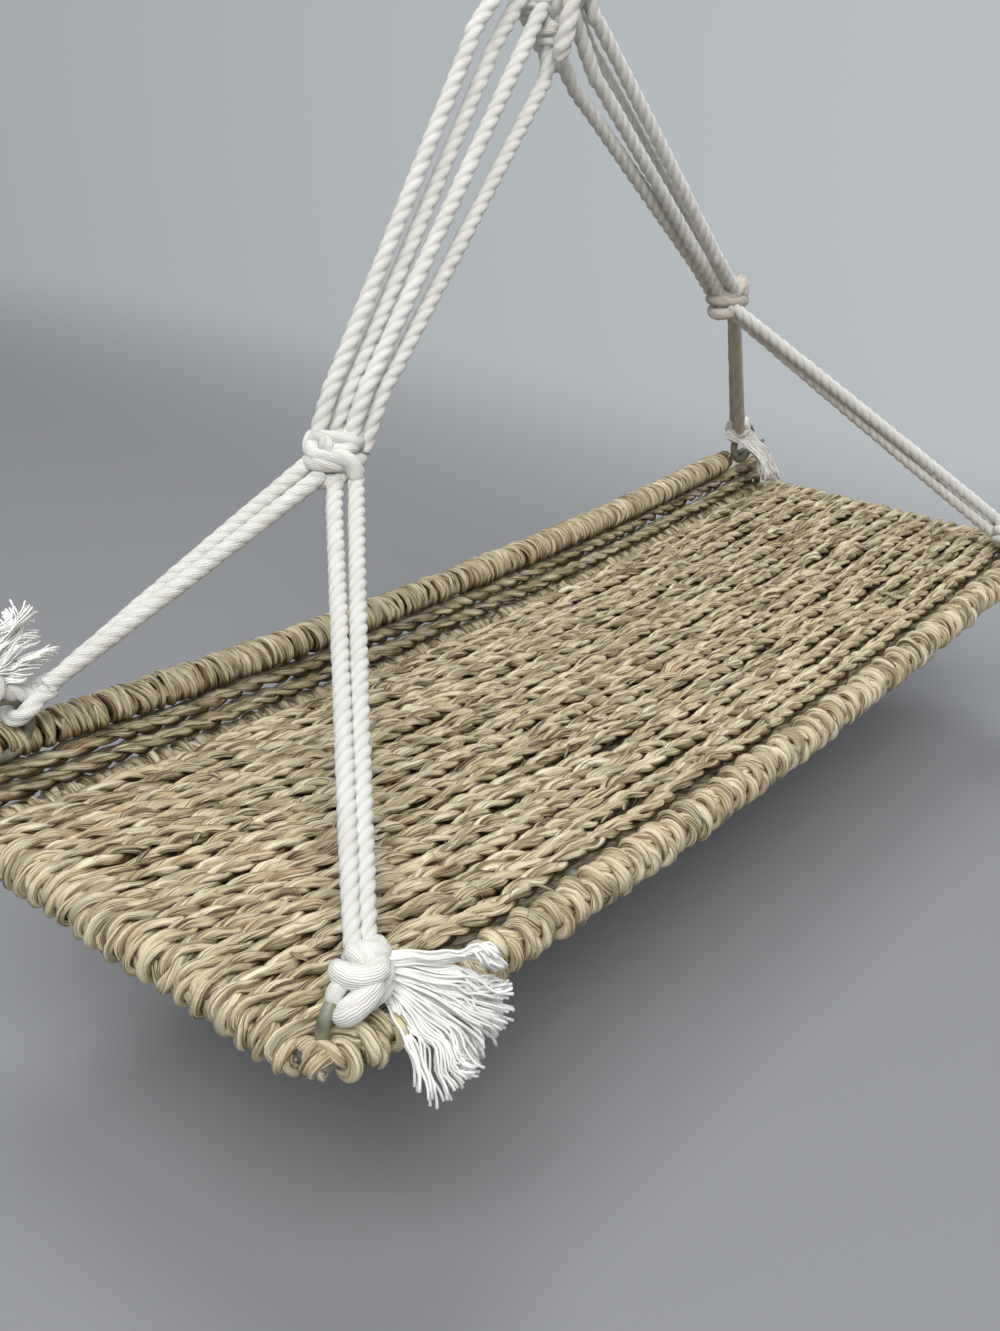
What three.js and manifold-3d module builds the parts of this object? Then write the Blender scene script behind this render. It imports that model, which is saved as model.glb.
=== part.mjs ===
// Hanging rope shelf: a wire tray wound with seagrass, slung from one knotted cotton cord.
// Millimetres, +X to the right along the shelf, +Y back to the wall, +Z up.
// The pieces are placed from the middle of the front rail, then the group moves the origin to the
// middle of the hook that the hanging loop lies over.

import * as THREE from 'three';
import { mergeVertices } from 'three/addons/utils/BufferGeometryUtils.js';
import Module from 'manifold-3d';

// Driving dimensions of the wire tray
const shelfLength = 450;
const floorDepth = 142;
const railRise = 26;
const railSag = 8.5;
const wireDiameter = 3.4;
const eyeletRadius = 8.5;
const eyeletRise = 5.3;
const crossWireShares = [-0.536, 0, 0.536];
const fitGap = 0.3;
const layGap = 0.5;

// Driving dimensions of the seagrass winding
const frontWrapRadius = 6.5;
const frontWrapTipRadius = 4.2;
const backWrapRadius = 6;
const railWrapRadius = 5.8;
const frontWrapPitch = 7.65;
const backWrapPitch = 7;
const railWrapPitch = 5;
const wrapInset = 22.5;
const wrapTaper = 40;
const rowRadius = 3.1;
const rowGap = 0.55;

// Driving dimensions of the cords and knots
const cordDiameter = 5.2;
const wallCordDiameter = 6.4;
const wallCordGap = 0.4;
const pairSpacing = 5.6;
const gatherSpread = 113.4;
const gatherDepth = 108;
const leftGatherRise = 94;
const rightGatherRise = 115.5;
const gatherHalfLength = 9.5;
const gatherRadius = 7;
const gatherPairOffset = 4.8;
const limbRadius = 4.8;
const cornerKnotDrop = 4;
const stopKnotReach = 14;
const stopKnotRadius = 5;
const backRightShift = 16;
const cornerKnotRadius = 6;
const cornerKnotHalfLength = 5.5;
const tasselReach = 30;
const hookDepth = 137;
const hookRise = 290;
const hookToNeck = 60.4;
const hangLeanShare = 0.2205;
const neckRadius = 16;
const neckTail = 35;
const innerCrownRadius = 7.4;
const crownPitch = 5.6;
const neckPitch = 5.6;
const overrun = 20;
const swingForward = THREE.MathUtils.degToRad(20);

// Facets: 8 sides on cords and wires, 6 on the wound grass
const cordSides = 8;
const wireSides = 8;
const wrapSides = 6;
const wireSteps = 12;
const wallCordSteps = 30;
const upperCordSteps = 12;
const pairSteps = 6;
const ballSegments = 10;
const eyeletSegments = 14;
const limbSegments = 10;
const latheSegments = 14;
const crownSteps = 10;
const sphereSegments = 24;
const ribsPerBoreRing = 5;

// Values worked out from the dimensions
const halfLength = shelfLength / 2;
const wireRadius = wireDiameter / 2;
const cordRadius = cordDiameter / 2;
const weldReach = wireRadius + fitGap;
const backY = floorDepth;
const rowLift = wireRadius + fitGap + rowRadius * Math.cos(Math.PI / wrapSides);
const hangAxis = new THREE.Vector3(0, hangLeanShare, 1).normalize();
const hook = new THREE.Vector3(0, hookDepth, hookRise);
const neck = hook.clone().addScaledVector(hangAxis, -hookToNeck);
const across = new THREE.Vector3(1, 0, 0);
const up = new THREE.Vector3(0, 0, 1);
const back = new THREE.Vector3(0, 1, 0);

const wasm = await Module();
wasm.setup();

const model = new THREE.Group();
model.position.copy(hook).negate();

// Materials

function cottonMaterial() {
  return new THREE.MeshStandardMaterial({ color: 0xebebe4, roughness: 0.9, metalness: 0 });
}

function wireMaterial() {
  return new THREE.MeshStandardMaterial({ color: 0x82826e, roughness: 0.55, metalness: 0.2 });
}

function grassMaterial() {
  return new THREE.MeshStandardMaterial({ color: 0xb4a073, roughness: 0.85, metalness: 0 });
}

function addPiece(name, geometry, material) {
  const mesh = new THREE.Mesh(geometry, material);
  mesh.name = name;
  model.add(mesh);
}

// Closed solids: joining and cutting

function toSolid(geometry) {
  const bare = geometry.clone();
  bare.deleteAttribute('normal');
  bare.deleteAttribute('uv');
  const merged = mergeVertices(bare);
  const vertProperties = new Float32Array(merged.attributes.position.array);
  const triVerts = new Uint32Array(merged.index.array);
  return new wasm.Manifold(new wasm.Mesh({ numProp: 3, vertProperties, triVerts }));
}

function toGeometry(solid) {
  const mesh = solid.getMesh();
  const geometry = new THREE.BufferGeometry();
  geometry.setAttribute('position', new THREE.BufferAttribute(mesh.vertProperties, 3));
  geometry.setIndex(new THREE.BufferAttribute(mesh.triVerts, 1));
  geometry.computeVertexNormals();
  return geometry;
}

function cutBy(geometry, cutters) {
  let solid = toSolid(geometry);
  for (const cutter of cutters) {
    solid = solid.subtract(toSolid(cutter));
  }
  return toGeometry(solid);
}

function joined(first, second) {
  return toGeometry(toSolid(first).add(toSolid(second)));
}

// Plain shapes, each stood on a point with its own Y axis along a direction

function stand(geometry, point, direction) {
  const turn = new THREE.Quaternion().setFromUnitVectors(back, direction.clone().normalize());
  geometry.applyQuaternion(turn);
  geometry.translate(point.x, point.y, point.z);
  return geometry;
}

function rod(from, to, radius, sides) {
  const span = to.clone().sub(from);
  const middle = from.clone().add(to).divideScalar(2);
  return stand(new THREE.CylinderGeometry(radius, radius, span.length(), sides), middle, span);
}

function ball(centre, direction, halfAlong, radius) {
  const geometry = new THREE.SphereGeometry(1, ballSegments, ballSegments / 2 + 2);
  geometry.scale(radius, halfAlong, radius);
  return stand(geometry, centre, direction);
}

// A ball's clearance shape: wider than the ball by the gap at its flats, whichever way it turns
function ballClearance(centre, direction, halfAlong, radius) {
  const grow = 1 / Math.cos(Math.PI / ballSegments);
  return ball(centre, direction, (halfAlong + fitGap) * grow, (radius + fitGap) * grow);
}

function ringAround(centre, normal, radius, tubeRadius, segments) {
  const geometry = new THREE.TorusGeometry(radius, tubeRadius, wireSides, segments);
  geometry.rotateX(-Math.PI / 2);
  return stand(geometry, centre, normal);
}

function roundSection(radius, sides) {
  const shape = new THREE.Shape();
  for (let i = 0; i < sides; i += 1) {
    const angle = (i + 0.5) * 2 * Math.PI / sides;
    const x = radius * Math.cos(angle);
    const y = radius * Math.sin(angle);
    if (i === 0) shape.moveTo(x, y);
    else shape.lineTo(x, y);
  }
  shape.closePath();
  return shape;
}

function tubeAlong(curve, radius, sides, steps) {
  const section = roundSection(radius, sides);
  return new THREE.ExtrudeGeometry(section, { steps, bevelEnabled: false, extrudePath: curve });
}

// The droop that the long wires, rows and wall cords share: nothing at the ends, most in the middle

function droop(x) {
  const share = x / halfLength;
  return -railSag * (1 - share * share);
}

class DroopCurve extends THREE.Curve {
  constructor(reach, y, rise) {
    super();
    this.reach = reach;
    this.y = y;
    this.rise = rise;
  }

  getPoint(t, target = new THREE.Vector3()) {
    const x = this.reach * (2 * t - 1);
    return target.set(x, this.y, this.rise + droop(x));
  }
}

// The loops of a wound or ribbed form, joined ring by ring into one closed surface

function skin(rings, closed) {
  const sides = rings[0].length;
  const positions = rings.flat().flatMap((point) => [point.x, point.y, point.z]);
  const index = [];
  const bands = closed ? rings.length : rings.length - 1;
  for (let r = 0; r < bands; r += 1) {
    const here = r * sides;
    const next = ((r + 1) % rings.length) * sides;
    for (let s = 0; s < sides; s += 1) {
      const t = (s + 1) % sides;
      index.push(here + s, here + t, next + t, here + s, next + t, next + s);
    }
  }
  if (!closed) {
    const last = (rings.length - 1) * sides;
    for (let s = 1; s < sides - 1; s += 1) {
      index.push(0, s + 1, s, last, last + s, last + s + 1);
    }
  }
  const geometry = new THREE.BufferGeometry();
  geometry.setAttribute('position', new THREE.Float32BufferAttribute(positions, 3));
  geometry.setIndex(index);
  geometry.computeVertexNormals();
  return geometry;
}

// A ring of points round the droop line, square to it
function droopRing(x, y, rise, radius) {
  const slope = 2 * railSag * x / (halfLength * halfLength);
  const normal = new THREE.Vector3(-slope, 0, 1).normalize();
  const centre = new THREE.Vector3(x, y, rise + droop(x));
  const ring = [];
  for (let s = 0; s < wrapSides; s += 1) {
    const angle = s * 2 * Math.PI / wrapSides;
    const point = centre.clone().addScaledVector(back, radius * Math.cos(angle));
    ring.push(point.addScaledVector(normal, radius * Math.sin(angle)));
  }
  return ring;
}

// A sleeve of wound grass: ribs outside, a plain stretch at each end and a bore for its wire
function wrapSleeve({ y, rise, pitch, radius, tipRadius, shift = 0 }) {
  const start = wrapInset - halfLength;
  const end = halfLength - wrapInset - shift;
  const plain = 2 * tipRadius;
  const ribbed = end - start - 2 * plain;
  const ribCount = Math.round(ribbed / pitch);
  const step = ribbed / ribCount;
  const valleyShare = 0.84;
  const boreRadius = (wireRadius + fitGap) / Math.cos(Math.PI / wrapSides);
  const radiusAt = (x) => {
    const share = Math.min(1, (x - start) / wrapTaper, (end - x) / wrapTaper);
    return tipRadius + (radius - tipRadius) * share;
  };
  const rings = [droopRing(start, y, rise, radiusAt(start) * valleyShare)];
  for (let rib = 0; rib < ribCount; rib += 1) {
    const valley = start + plain + rib * step;
    const crest = valley + step / 2;
    rings.push(droopRing(valley, y, rise, radiusAt(valley) * valleyShare));
    rings.push(droopRing(crest, y, rise, radiusAt(crest)));
  }
  rings.push(droopRing(end - plain, y, rise, radiusAt(end - plain) * valleyShare));
  rings.push(droopRing(end, y, rise, radiusAt(end) * valleyShare));
  const boreRings = Math.ceil(ribCount / ribsPerBoreRing);
  for (let i = boreRings; i >= 0; i -= 1) {
    rings.push(droopRing(start + (end - start) * i / boreRings, y, rise, boreRadius));
  }
  return skin(rings, true);
}

// The floor: one winding of grass round both end wires, over and under the cross wires

const rowStart = frontWrapRadius + layGap + rowRadius;
const rowSpan = backY - backWrapRadius - layGap - rowRadius - rowStart;
const rowCount = Math.floor(rowSpan / (2 * rowRadius + rowGap)) + 1;
const rowPitch = rowSpan / (rowCount - 1);
const rowStationShares = [-0.82, -0.267, 0.267, 0.82];

// The droop of a row, which runs straight from station to station
function rowDroop(x) {
  const stations = [-1, ...rowStationShares, 1].map((share) => share * halfLength);
  const next = Math.min(stations.findIndex((station) => station > x), stations.length - 1);
  const low = stations[next - 1];
  const high = stations[next];
  return THREE.MathUtils.mapLinear(x, low, high, droop(low), droop(high));
}

// The centre line of one turn: along the top, round the right wire, back below, round the left one
function turnPoints(turn, isLast) {
  const y = rowStart + turn * rowPitch;
  const miter = rowLift * Math.tan(Math.PI / 6);
  const bulge = rowLift / Math.cos(Math.PI / 6);
  const point = (x, z, share) => new THREE.Vector3(x, y + share * rowPitch, z);
  const points = [];
  for (const share of rowStationShares) {
    const x = share * halfLength;
    points.push(point(x, rowLift + droop(x), 0));
  }
  points.push(point(halfLength + miter, rowLift, 0));
  points.push(point(halfLength + bulge, 0, 0));
  points.push(point(halfLength + miter, -rowLift, 0));
  if (isLast) {
    const x = halfLength - 2 * rowRadius;
    points.push(point(x, droop(x) - rowLift, 0));
    return points;
  }
  for (const share of [...rowStationShares].reverse()) {
    const x = share * halfLength;
    points.push(point(x, droop(x) - rowLift, (1 - share) / 2));
  }
  points.push(point(-halfLength - miter, -rowLift, 1));
  points.push(point(-halfLength - bulge, 0, 1));
  points.push(point(-halfLength - miter, rowLift, 1));
  return points;
}

// A section with a flat top and bottom, mitred at each bend of the winding
function windingRings(points) {
  const rings = [];
  for (let i = 0; i < points.length; i += 1) {
    const before = points[i].clone().sub(points[Math.max(i - 1, 0)]);
    const after = points[Math.min(i + 1, points.length - 1)].clone().sub(points[i]);
    const arriving = i === 0 ? after.clone() : before.clone();
    const leaving = i === points.length - 1 ? before.clone() : after.clone();
    arriving.normalize();
    leaving.normalize();
    const along = arriving.clone().add(leaving).normalize();
    const side = back.clone().addScaledVector(along, -along.dot(back)).normalize();
    const out = along.clone().cross(side).normalize();
    const stretch = 1 / along.dot(leaving);
    const ring = [];
    for (let s = 0; s < wrapSides; s += 1) {
      const angle = s * 2 * Math.PI / wrapSides;
      const point = points[i].clone().addScaledVector(side, rowRadius * Math.cos(angle));
      ring.push(point.addScaledVector(out, rowRadius * stretch * Math.sin(angle)));
    }
    rings.push(ring);
  }
  return rings;
}

// The least gap between turns of the winding, measured on points along its centre line
function leastSelfGap(points) {
  const samples = [];
  const spacing = rowRadius;
  let travelled = 0;
  for (let i = 1; i < points.length; i += 1) {
    const length = points[i].distanceTo(points[i - 1]);
    const pieces = Math.ceil(length / spacing);
    for (let p = 0; p < pieces; p += 1) {
      const spot = points[i - 1].clone().lerp(points[i], p / pieces);
      samples.push({ spot, travelled: travelled + length * p / pieces });
    }
    travelled += length;
  }
  let least = Infinity;
  for (let a = 0; a < samples.length; a += 1) {
    for (let b = a + 1; b < samples.length; b += 1) {
      if (samples[b].travelled - samples[a].travelled < 6 * rowRadius) continue;
      least = Math.min(least, samples[a].spot.distanceTo(samples[b].spot));
    }
  }
  return least - 2 * rowRadius;
}

function addFloorWeave() {
  const reach = halfLength + rowRadius;
  const points = [new THREE.Vector3(-reach, rowStart, rowLift)];
  for (let turn = 0; turn < rowCount; turn += 1) {
    points.push(...turnPoints(turn, turn === rowCount - 1));
  }
  console.log('floor_weave least gap to itself', leastSelfGap(points).toFixed(2), 'mm');
  addPiece('floor_weave', skin(windingRings(points), false), grassMaterial());
}

// The wire frame

function addLongWire(name, y, rise) {
  const curve = new DroopCurve(halfLength + wireRadius, y, rise);
  addPiece(name, tubeAlong(curve, wireRadius, wireSides, wireSteps), wireMaterial());
}

function addEndWires(side, sign) {
  const x = sign * halfLength;
  const front = new THREE.Vector3(x, weldReach, 0);
  const rear = new THREE.Vector3(x, backY - weldReach, 0);
  addPiece(`${side}_end_wire`, rod(front, rear, wireRadius, wireSides), wireMaterial());
  const foot = new THREE.Vector3(x, backY, weldReach);
  const head = new THREE.Vector3(x, backY, railRise - weldReach);
  addPiece(`${side}_back_post`, rod(foot, head, wireRadius, wireSides), wireMaterial());
}

function crossWire(share, radius, endGap) {
  const x = share * halfLength;
  const front = new THREE.Vector3(x, endGap, rowDroop(x));
  const rear = new THREE.Vector3(x, backY - endGap, rowDroop(x));
  return rod(front, rear, radius, wireSides);
}

function addFrame() {
  addLongWire('front_rail_wire', 0, 0);
  addLongWire('back_floor_wire', backY, 0);
  addLongWire('raised_rail_wire', backY, railRise);
  addEndWires('left', -1);
  addEndWires('right', 1);
  const names = ['left_cross_wire', 'centre_cross_wire', 'right_cross_wire'];
  names.forEach((name, i) => {
    addPiece(name, crossWire(crossWireShares[i], wireRadius, weldReach), wireMaterial());
  });
}

// The wraps on the long wires, with holes where the cross wires reach their welds

function addWraps() {
  const grow = 1 / Math.cos(Math.PI / wireSides);
  const holes = crossWireShares.map((share) => crossWire(share, weldReach * grow, 0));
  const front = wrapSleeve({
    y: 0, rise: 0, pitch: frontWrapPitch, radius: frontWrapRadius, tipRadius: frontWrapTipRadius,
  });
  const rear = wrapSleeve({
    y: backY, rise: 0, pitch: backWrapPitch, radius: backWrapRadius, tipRadius: backWrapRadius,
  });
  const rail = wrapSleeve({
    y: backY, rise: railRise, pitch: railWrapPitch, radius: railWrapRadius, tipRadius: railWrapRadius,
    shift: backRightShift,
  });
  addPiece('front_rail_wrap', cutBy(front, holes), grassMaterial());
  addPiece('back_floor_wrap', cutBy(rear, holes), grassMaterial());
  addPiece('raised_rail_wrap', rail, grassMaterial());
}

// Two grass cords across the back, under the raised rail, from post to post

function addWallCords() {
  const radius = wallCordDiameter / 2;
  const lowerRise = backWrapRadius + layGap + radius;
  const upperRise = lowerRise + wallCordDiameter + wallCordGap;
  const reach = halfLength - wireRadius - 2 * fitGap;
  const rises = { lower_wall_cord: lowerRise, upper_wall_cord: upperRise };
  for (const [name, rise] of Object.entries(rises)) {
    const curve = new DroopCurve(reach, backY, rise);
    addPiece(name, tubeAlong(curve, radius, cordSides, wallCordSteps), grassMaterial());
  }
}

// Corners: an eyelet welded to the rail, a cord looped through it, its knot and its frayed tassel

const eyeletInset = Math.sqrt((eyeletRadius + 2 * wireRadius + fitGap) ** 2 - eyeletRise ** 2);
const eyeletSetIn = 2 * wireRadius + fitGap;
const backSetIn = backY - eyeletSetIn;
const corners = {
  front_left: { sign: -1, x: eyeletInset - halfLength, y: eyeletSetIn, z: eyeletRise },
  front_right: { sign: 1, x: halfLength - eyeletInset, y: eyeletSetIn, z: eyeletRise },
  back_left: { sign: -1, x: eyeletInset - halfLength, y: backSetIn, z: railRise + eyeletRise },
  back_right: {
    sign: 1,
    x: halfLength - eyeletInset - backRightShift,
    y: backSetIn,
    z: railRise + eyeletRise,
  },
};

function gatherPoint(sign) {
  const rise = sign < 0 ? leftGatherRise : rightGatherRise;
  return new THREE.Vector3(sign * gatherSpread, gatherDepth, rise);
}

const gatherAxis = gatherPoint(1).sub(gatherPoint(-1)).normalize();

// Where a corner's cord lies on its eyelet, and the knot above it on the way to the gather knot
function cornerLayout({ sign, x, y, z }) {
  const centre = new THREE.Vector3(x, y, z);
  const gather = gatherPoint(sign);
  const outward = gather.clone().sub(centre).setY(0).normalize();
  const limb = centre.clone().addScaledVector(outward, eyeletRadius);
  const pull = gather.clone().sub(limb).normalize();
  const tangent = outward.clone().cross(back).normalize();
  const knot = limb.clone().addScaledVector(pull, cornerKnotDrop);
  return { centre, limb, pull, tangent, knot, gather };
}

function cornerBall({ knot, pull }) {
  return ball(knot, pull, cornerKnotHalfLength, cornerKnotRadius);
}

// The cord's turn round the eyelet
function limbRing({ limb, tangent }, gap) {
  const grow = gap > 0 ? 1 / Math.cos(Math.PI / wireSides) : 1;
  return ringAround(limb, tangent, limbRadius, (cordRadius + gap) * grow, limbSegments);
}

function cornerClearances(layout) {
  const { knot, pull } = layout;
  const aroundBall = ballClearance(knot, pull, cornerKnotHalfLength, cornerKnotRadius);
  return [aroundBall, limbRing(layout, fitGap)];
}

function gatherClearance(sign) {
  return ballClearance(gatherPoint(sign), gatherAxis, gatherHalfLength, gatherRadius);
}

function addCorner(name, corner) {
  const layout = cornerLayout(corner);
  const eyelet = ringAround(layout.centre, back, eyeletRadius, wireRadius, eyeletSegments);
  addPiece(`${name}_eyelet`, eyelet, wireMaterial());
  const grown = (wireRadius + fitGap) / Math.cos(Math.PI / wireSides);
  const groove = ringAround(layout.centre, back, eyeletRadius, grown, eyeletSegments);
  const body = name === 'back_left' ? joined(cornerBall(layout), stopKnot(layout)) : cornerBall(layout);
  addPiece(`${name}_knot`, joined(limbRing(layout, 0), cutBy(body, [groove])), cottonMaterial());
}

// The back left cord ends beyond its eyelet: a short run out over the ring, and a knot on it
function stopPoint({ limb }) {
  const outward = new THREE.Vector3(-0.75, 0, 0.66).normalize();
  return limb.clone().addScaledVector(outward, stopKnotReach);
}

function stopKnot(layout) {
  const end = stopPoint(layout);
  const run = rod(layout.knot, end, cordRadius, cordSides);
  return joined(run, ball(end, up, stopKnotRadius, stopKnotRadius));
}

// Lower cords: a pair from each corner knot up to its gather knot. The two lie against each other and
// turn about each other a little on the way: how far round the pair stands at its corner and at its
// gather knot, in degrees from level.

const pairTurns = {
  front_left: [0, 0],
  front_right: [80, 15],
  back_left: [-30, 35],
  back_right: [125, 105],
};

class PairedCurve extends THREE.Curve {
  constructor(root, target, reach, turns) {
    super();
    const pull = target.clone().sub(root).normalize();
    this.root = root;
    this.target = target;
    this.reach = reach;
    this.turns = turns;
    this.level = pull.clone().cross(up).normalize();
    this.steep = pull.clone().cross(this.level);
  }

  getPoint(t, target = new THREE.Vector3()) {
    const turn = THREE.MathUtils.degToRad(THREE.MathUtils.lerp(this.turns[0], this.turns[1], t));
    target.copy(this.root).lerp(this.target, t);
    target.addScaledVector(this.level, this.reach * Math.cos(turn));
    return target.addScaledVector(this.steep, this.reach * Math.sin(turn));
  }
}

function addLowerCords(name, corner) {
  const layout = cornerLayout(corner);
  const inward = name.startsWith('front') ? 1 : -1;
  const shift = -corner.sign * inward * gatherPairOffset;
  const target = layout.gather.clone().addScaledVector(gatherAxis, shift);
  target.addScaledVector(layout.pull, -cordRadius);
  const cutters = [...cornerClearances(layout), gatherClearance(corner.sign)];
  const places = { outer: -corner.sign * pairSpacing / 2, inner: corner.sign * pairSpacing / 2 };
  const root = layout.knot.clone().addScaledVector(layout.pull, cornerKnotHalfLength * 0.8);
  for (const [place, reach] of Object.entries(places)) {
    const curve = new PairedCurve(root, target, reach, pairTurns[name]);
    const cord = tubeAlong(curve, cordRadius, cordSides, pairSteps);
    addPiece(`${name}_${place}_cord`, cutBy(cord, cutters), cottonMaterial());
  }
}

// Tassels: the outer shape of each frayed end, as a flat fan along a chosen line.
// Each stop holds the place off the knot, then half the fan's width and half its thickness, all as
// shares of the tassel's reach. The front ones fall over the rail, mirrored left to right.

const tasselShapes = {
  front_left: {
    spread: [0.62, -0.25, 0.74],
    stopShares: [
      [0.12, -0.18, 0.03, 0.1, 0.1], [0.3, -0.43, 0, 0.2, 0.12], [0.47, -0.67, -0.17, 0.33, 0.13],
      [0.63, -0.77, -0.43, 0.47, 0.12], [0.73, -0.8, -0.7, 0.5, 0.08],
    ],
  },
  front_right: {
    spread: [-0.62, -0.25, 0.74],
    stopShares: [
      [-0.12, -0.18, 0.03, 0.1, 0.1], [-0.3, -0.43, 0, 0.2, 0.12], [-0.47, -0.67, -0.17, 0.33, 0.13],
      [-0.63, -0.77, -0.43, 0.47, 0.12], [-0.73, -0.8, -0.7, 0.5, 0.08],
    ],
  },
  back_left: {
    spread: [0.5, 0, -0.85],
    stopShares: [
      [0.08, 0, 0.1, 0.1, 0.08], [0.33, 0, 0.27, 0.2, 0.1], [0.57, 0, 0.42, 0.27, 0.08],
    ],
  },
  back_right: {
    spread: [0.75, 0, 0.65],
    stopShares: [
      [0.13, -0.13, 0, 0.1, 0.1], [0.47, -0.33, -0.17, 0.17, 0.1], [0.87, -0.37, -0.6, 0.2, 0.1],
    ],
  },
};

function tassel({ spread, stopShares }, knot) {
  const stops = stopShares.map((shares) => shares.map((share) => share * tasselReach));
  const places = stops.map(([x, y, z]) => knot.clone().add(new THREE.Vector3(x, y, z)));
  const rings = stops.map((stop, i) => {
    const before = places[Math.max(i - 1, 0)];
    const after = places[Math.min(i + 1, places.length - 1)];
    const along = after.clone().sub(before).normalize();
    const wide = new THREE.Vector3(...spread);
    wide.addScaledVector(along, -wide.dot(along)).normalize();
    const thin = along.clone().cross(wide).normalize();
    const ring = [];
    for (let s = 0; s < cordSides; s += 1) {
      const angle = s * 2 * Math.PI / cordSides;
      const point = places[i].clone().addScaledVector(wide, stop[3] * Math.cos(angle));
      ring.push(point.addScaledVector(thin, stop[4] * Math.sin(angle)));
    }
    return ring;
  });
  return skin(rings, false);
}

function addTassel(name, corner) {
  const layout = cornerLayout(corner);
  const stops = name === 'back_left';
  const root = stops ? stopPoint(layout) : layout.knot;
  const aroundStop = ballClearance(stopPoint(layout), up, stopKnotRadius, stopKnotRadius);
  const clearances = stops ? [aroundStop] : cornerClearances(layout);
  const fan = tassel(tasselShapes[name], root);
  addPiece(`${name}_tassel`, cutBy(fan, clearances), cottonMaterial());
}

// Gather knots, and the four cords that fan up from each one to the top knot

function addGatherKnot(name, sign) {
  const knot = ball(gatherPoint(sign), gatherAxis, gatherHalfLength, gatherRadius);
  addPiece(name, knot, cottonMaterial());
}

// Routes of the upper cords, numbered from the outermost: two places off the gather knot's middle,
// then two off the neck
const upperRoutes = {
  left: [
    [[-6.5, 3.2, 1], [1.1, 3.2, 18.1], [-39.4, -6, -18.1], [-11, -4.5, 7]],
    [[-0.3, 2.4, 2], [7.9, 2.2, 17.2], [-29.1, -4.5, -24], [-8, -3, -2]],
    [[1, -3.3, 2], [9.6, -3.4, 18.8], [-24.8, -9.5, -29.8], [-5.5, -6.5, -9]],
    [[7.5, -4, 1], [16.5, -4.2, 17.8], [-6.5, -7.5, -33.8], [-2.5, -5.5, -25]],
  ],
  right: [
    [[-2.3, -5.5, 2.6], [-20.1, -6, 16.8], [14.2, -10, -12.6], [11, -7, 7]],
    [[1.9, 1, 1.5], [-15.9, 0.5, 15.7], [22.1, -3.5, -22.7], [7.5, -3, -3]],
    [[-7.6, -0.7, 2.5], [-25.4, -1.2, 16.7], [18.8, -9, -32.1], [6, -7, -11]],
    [[-4, 5.3, 1.5], [-21.8, 4.8, 15.7], [13.9, -4.5, -36.4], [3, -4.5, -25]],
  ],
};

function topKnotProfile(gap) {
  const tailShares = [[1, 0], [0.94, 0.25], [0.74, 0.47], [0.51, 0.69], [0.29, 0.88], [0.1, 1]];
  const points = tailShares.map(([downShare, wideShare]) => {
    return new THREE.Vector2(wideShare * (neckRadius + gap), -downShare * (neckTail + gap));
  });
  const arcs = 6;
  for (let i = 0; i <= arcs; i += 1) {
    const angle = i * Math.PI / (2 * arcs);
    const reach = neckRadius + gap;
    const wide = i === arcs ? 0 : reach * Math.cos(angle);
    points.push(new THREE.Vector2(wide, reach * Math.sin(angle)));
  }
  return points;
}

function topKnot(gap) {
  return stand(new THREE.LatheGeometry(topKnotProfile(gap), latheSegments), neck, hangAxis);
}

// A taut cord: a bend out of the gather knot, a straight run and a bend into the top knot
function tautCurve(route, gather) {
  const places = route.map((place) => new THREE.Vector3(...place));
  const [start, low, high, end] = places.map((place, i) => place.add(i < 2 ? gather : neck));
  const straightShares = [0, 0.08, 0.5, 0.92, 1];
  const run = straightShares.map((share) => low.clone().lerp(high, share));
  return new THREE.CatmullRomCurve3([start, ...run, end]);
}

function addUpperCords(side, sign) {
  const cutters = [gatherClearance(sign), topKnot(2 * fitGap)];
  upperRoutes[side].forEach((route, i) => {
    const curve = tautCurve(route, gatherPoint(sign));
    const cord = tubeAlong(curve, cordRadius, cordSides, upperCordSteps);
    addPiece(`${side}_upper_cord_${i + 1}`, cutBy(cord, cutters), cottonMaterial());
  });
}

// The hanging loop: four bights over the hook, two deep and two wide, down to the neck

const loopSide = back.clone().addScaledVector(hangAxis, -hangAxis.dot(back)).normalize();
const bights = [
  { name: 'front_inner', depth: -crownPitch / 2, radius: innerCrownRadius, neckX: neckPitch / 2 },
  { name: 'back_inner', depth: crownPitch / 2, radius: innerCrownRadius, neckX: neckPitch / 2 },
  {
    name: 'front_outer',
    depth: -crownPitch / 2,
    radius: innerCrownRadius + crownPitch,
    neckX: 3 * neckPitch / 2,
  },
  {
    name: 'back_outer',
    depth: crownPitch / 2,
    radius: innerCrownRadius + crownPitch,
    neckX: 3 * neckPitch / 2,
  },
];

class CrownCurve extends THREE.Curve {
  constructor(depth, radius) {
    super();
    this.depth = depth;
    this.radius = radius;
  }

  getPoint(t, target = new THREE.Vector3()) {
    const angle = t * Math.PI;
    target.copy(hook).addScaledVector(loopSide, this.depth);
    target.addScaledVector(across, this.radius * Math.cos(angle));
    return target.addScaledVector(hangAxis, this.radius * Math.sin(angle));
  }
}

function crown({ depth, radius }) {
  return tubeAlong(new CrownCurve(depth, radius), cordRadius, cordSides, crownSteps);
}

// The slab over the hook level that the legs end below, at rest and swung forward
function overHook(turn) {
  const width = 4 * (innerCrownRadius + crownPitch);
  const slab = new THREE.BoxGeometry(width, width, overrun);
  slab.translate(0, 0, overrun / 2 - fitGap);
  const lean = Math.atan(hangLeanShare);
  slab.rotateX(-lean + turn);
  slab.translate(hook.x, hook.y, hook.z);
  return slab;
}

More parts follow.
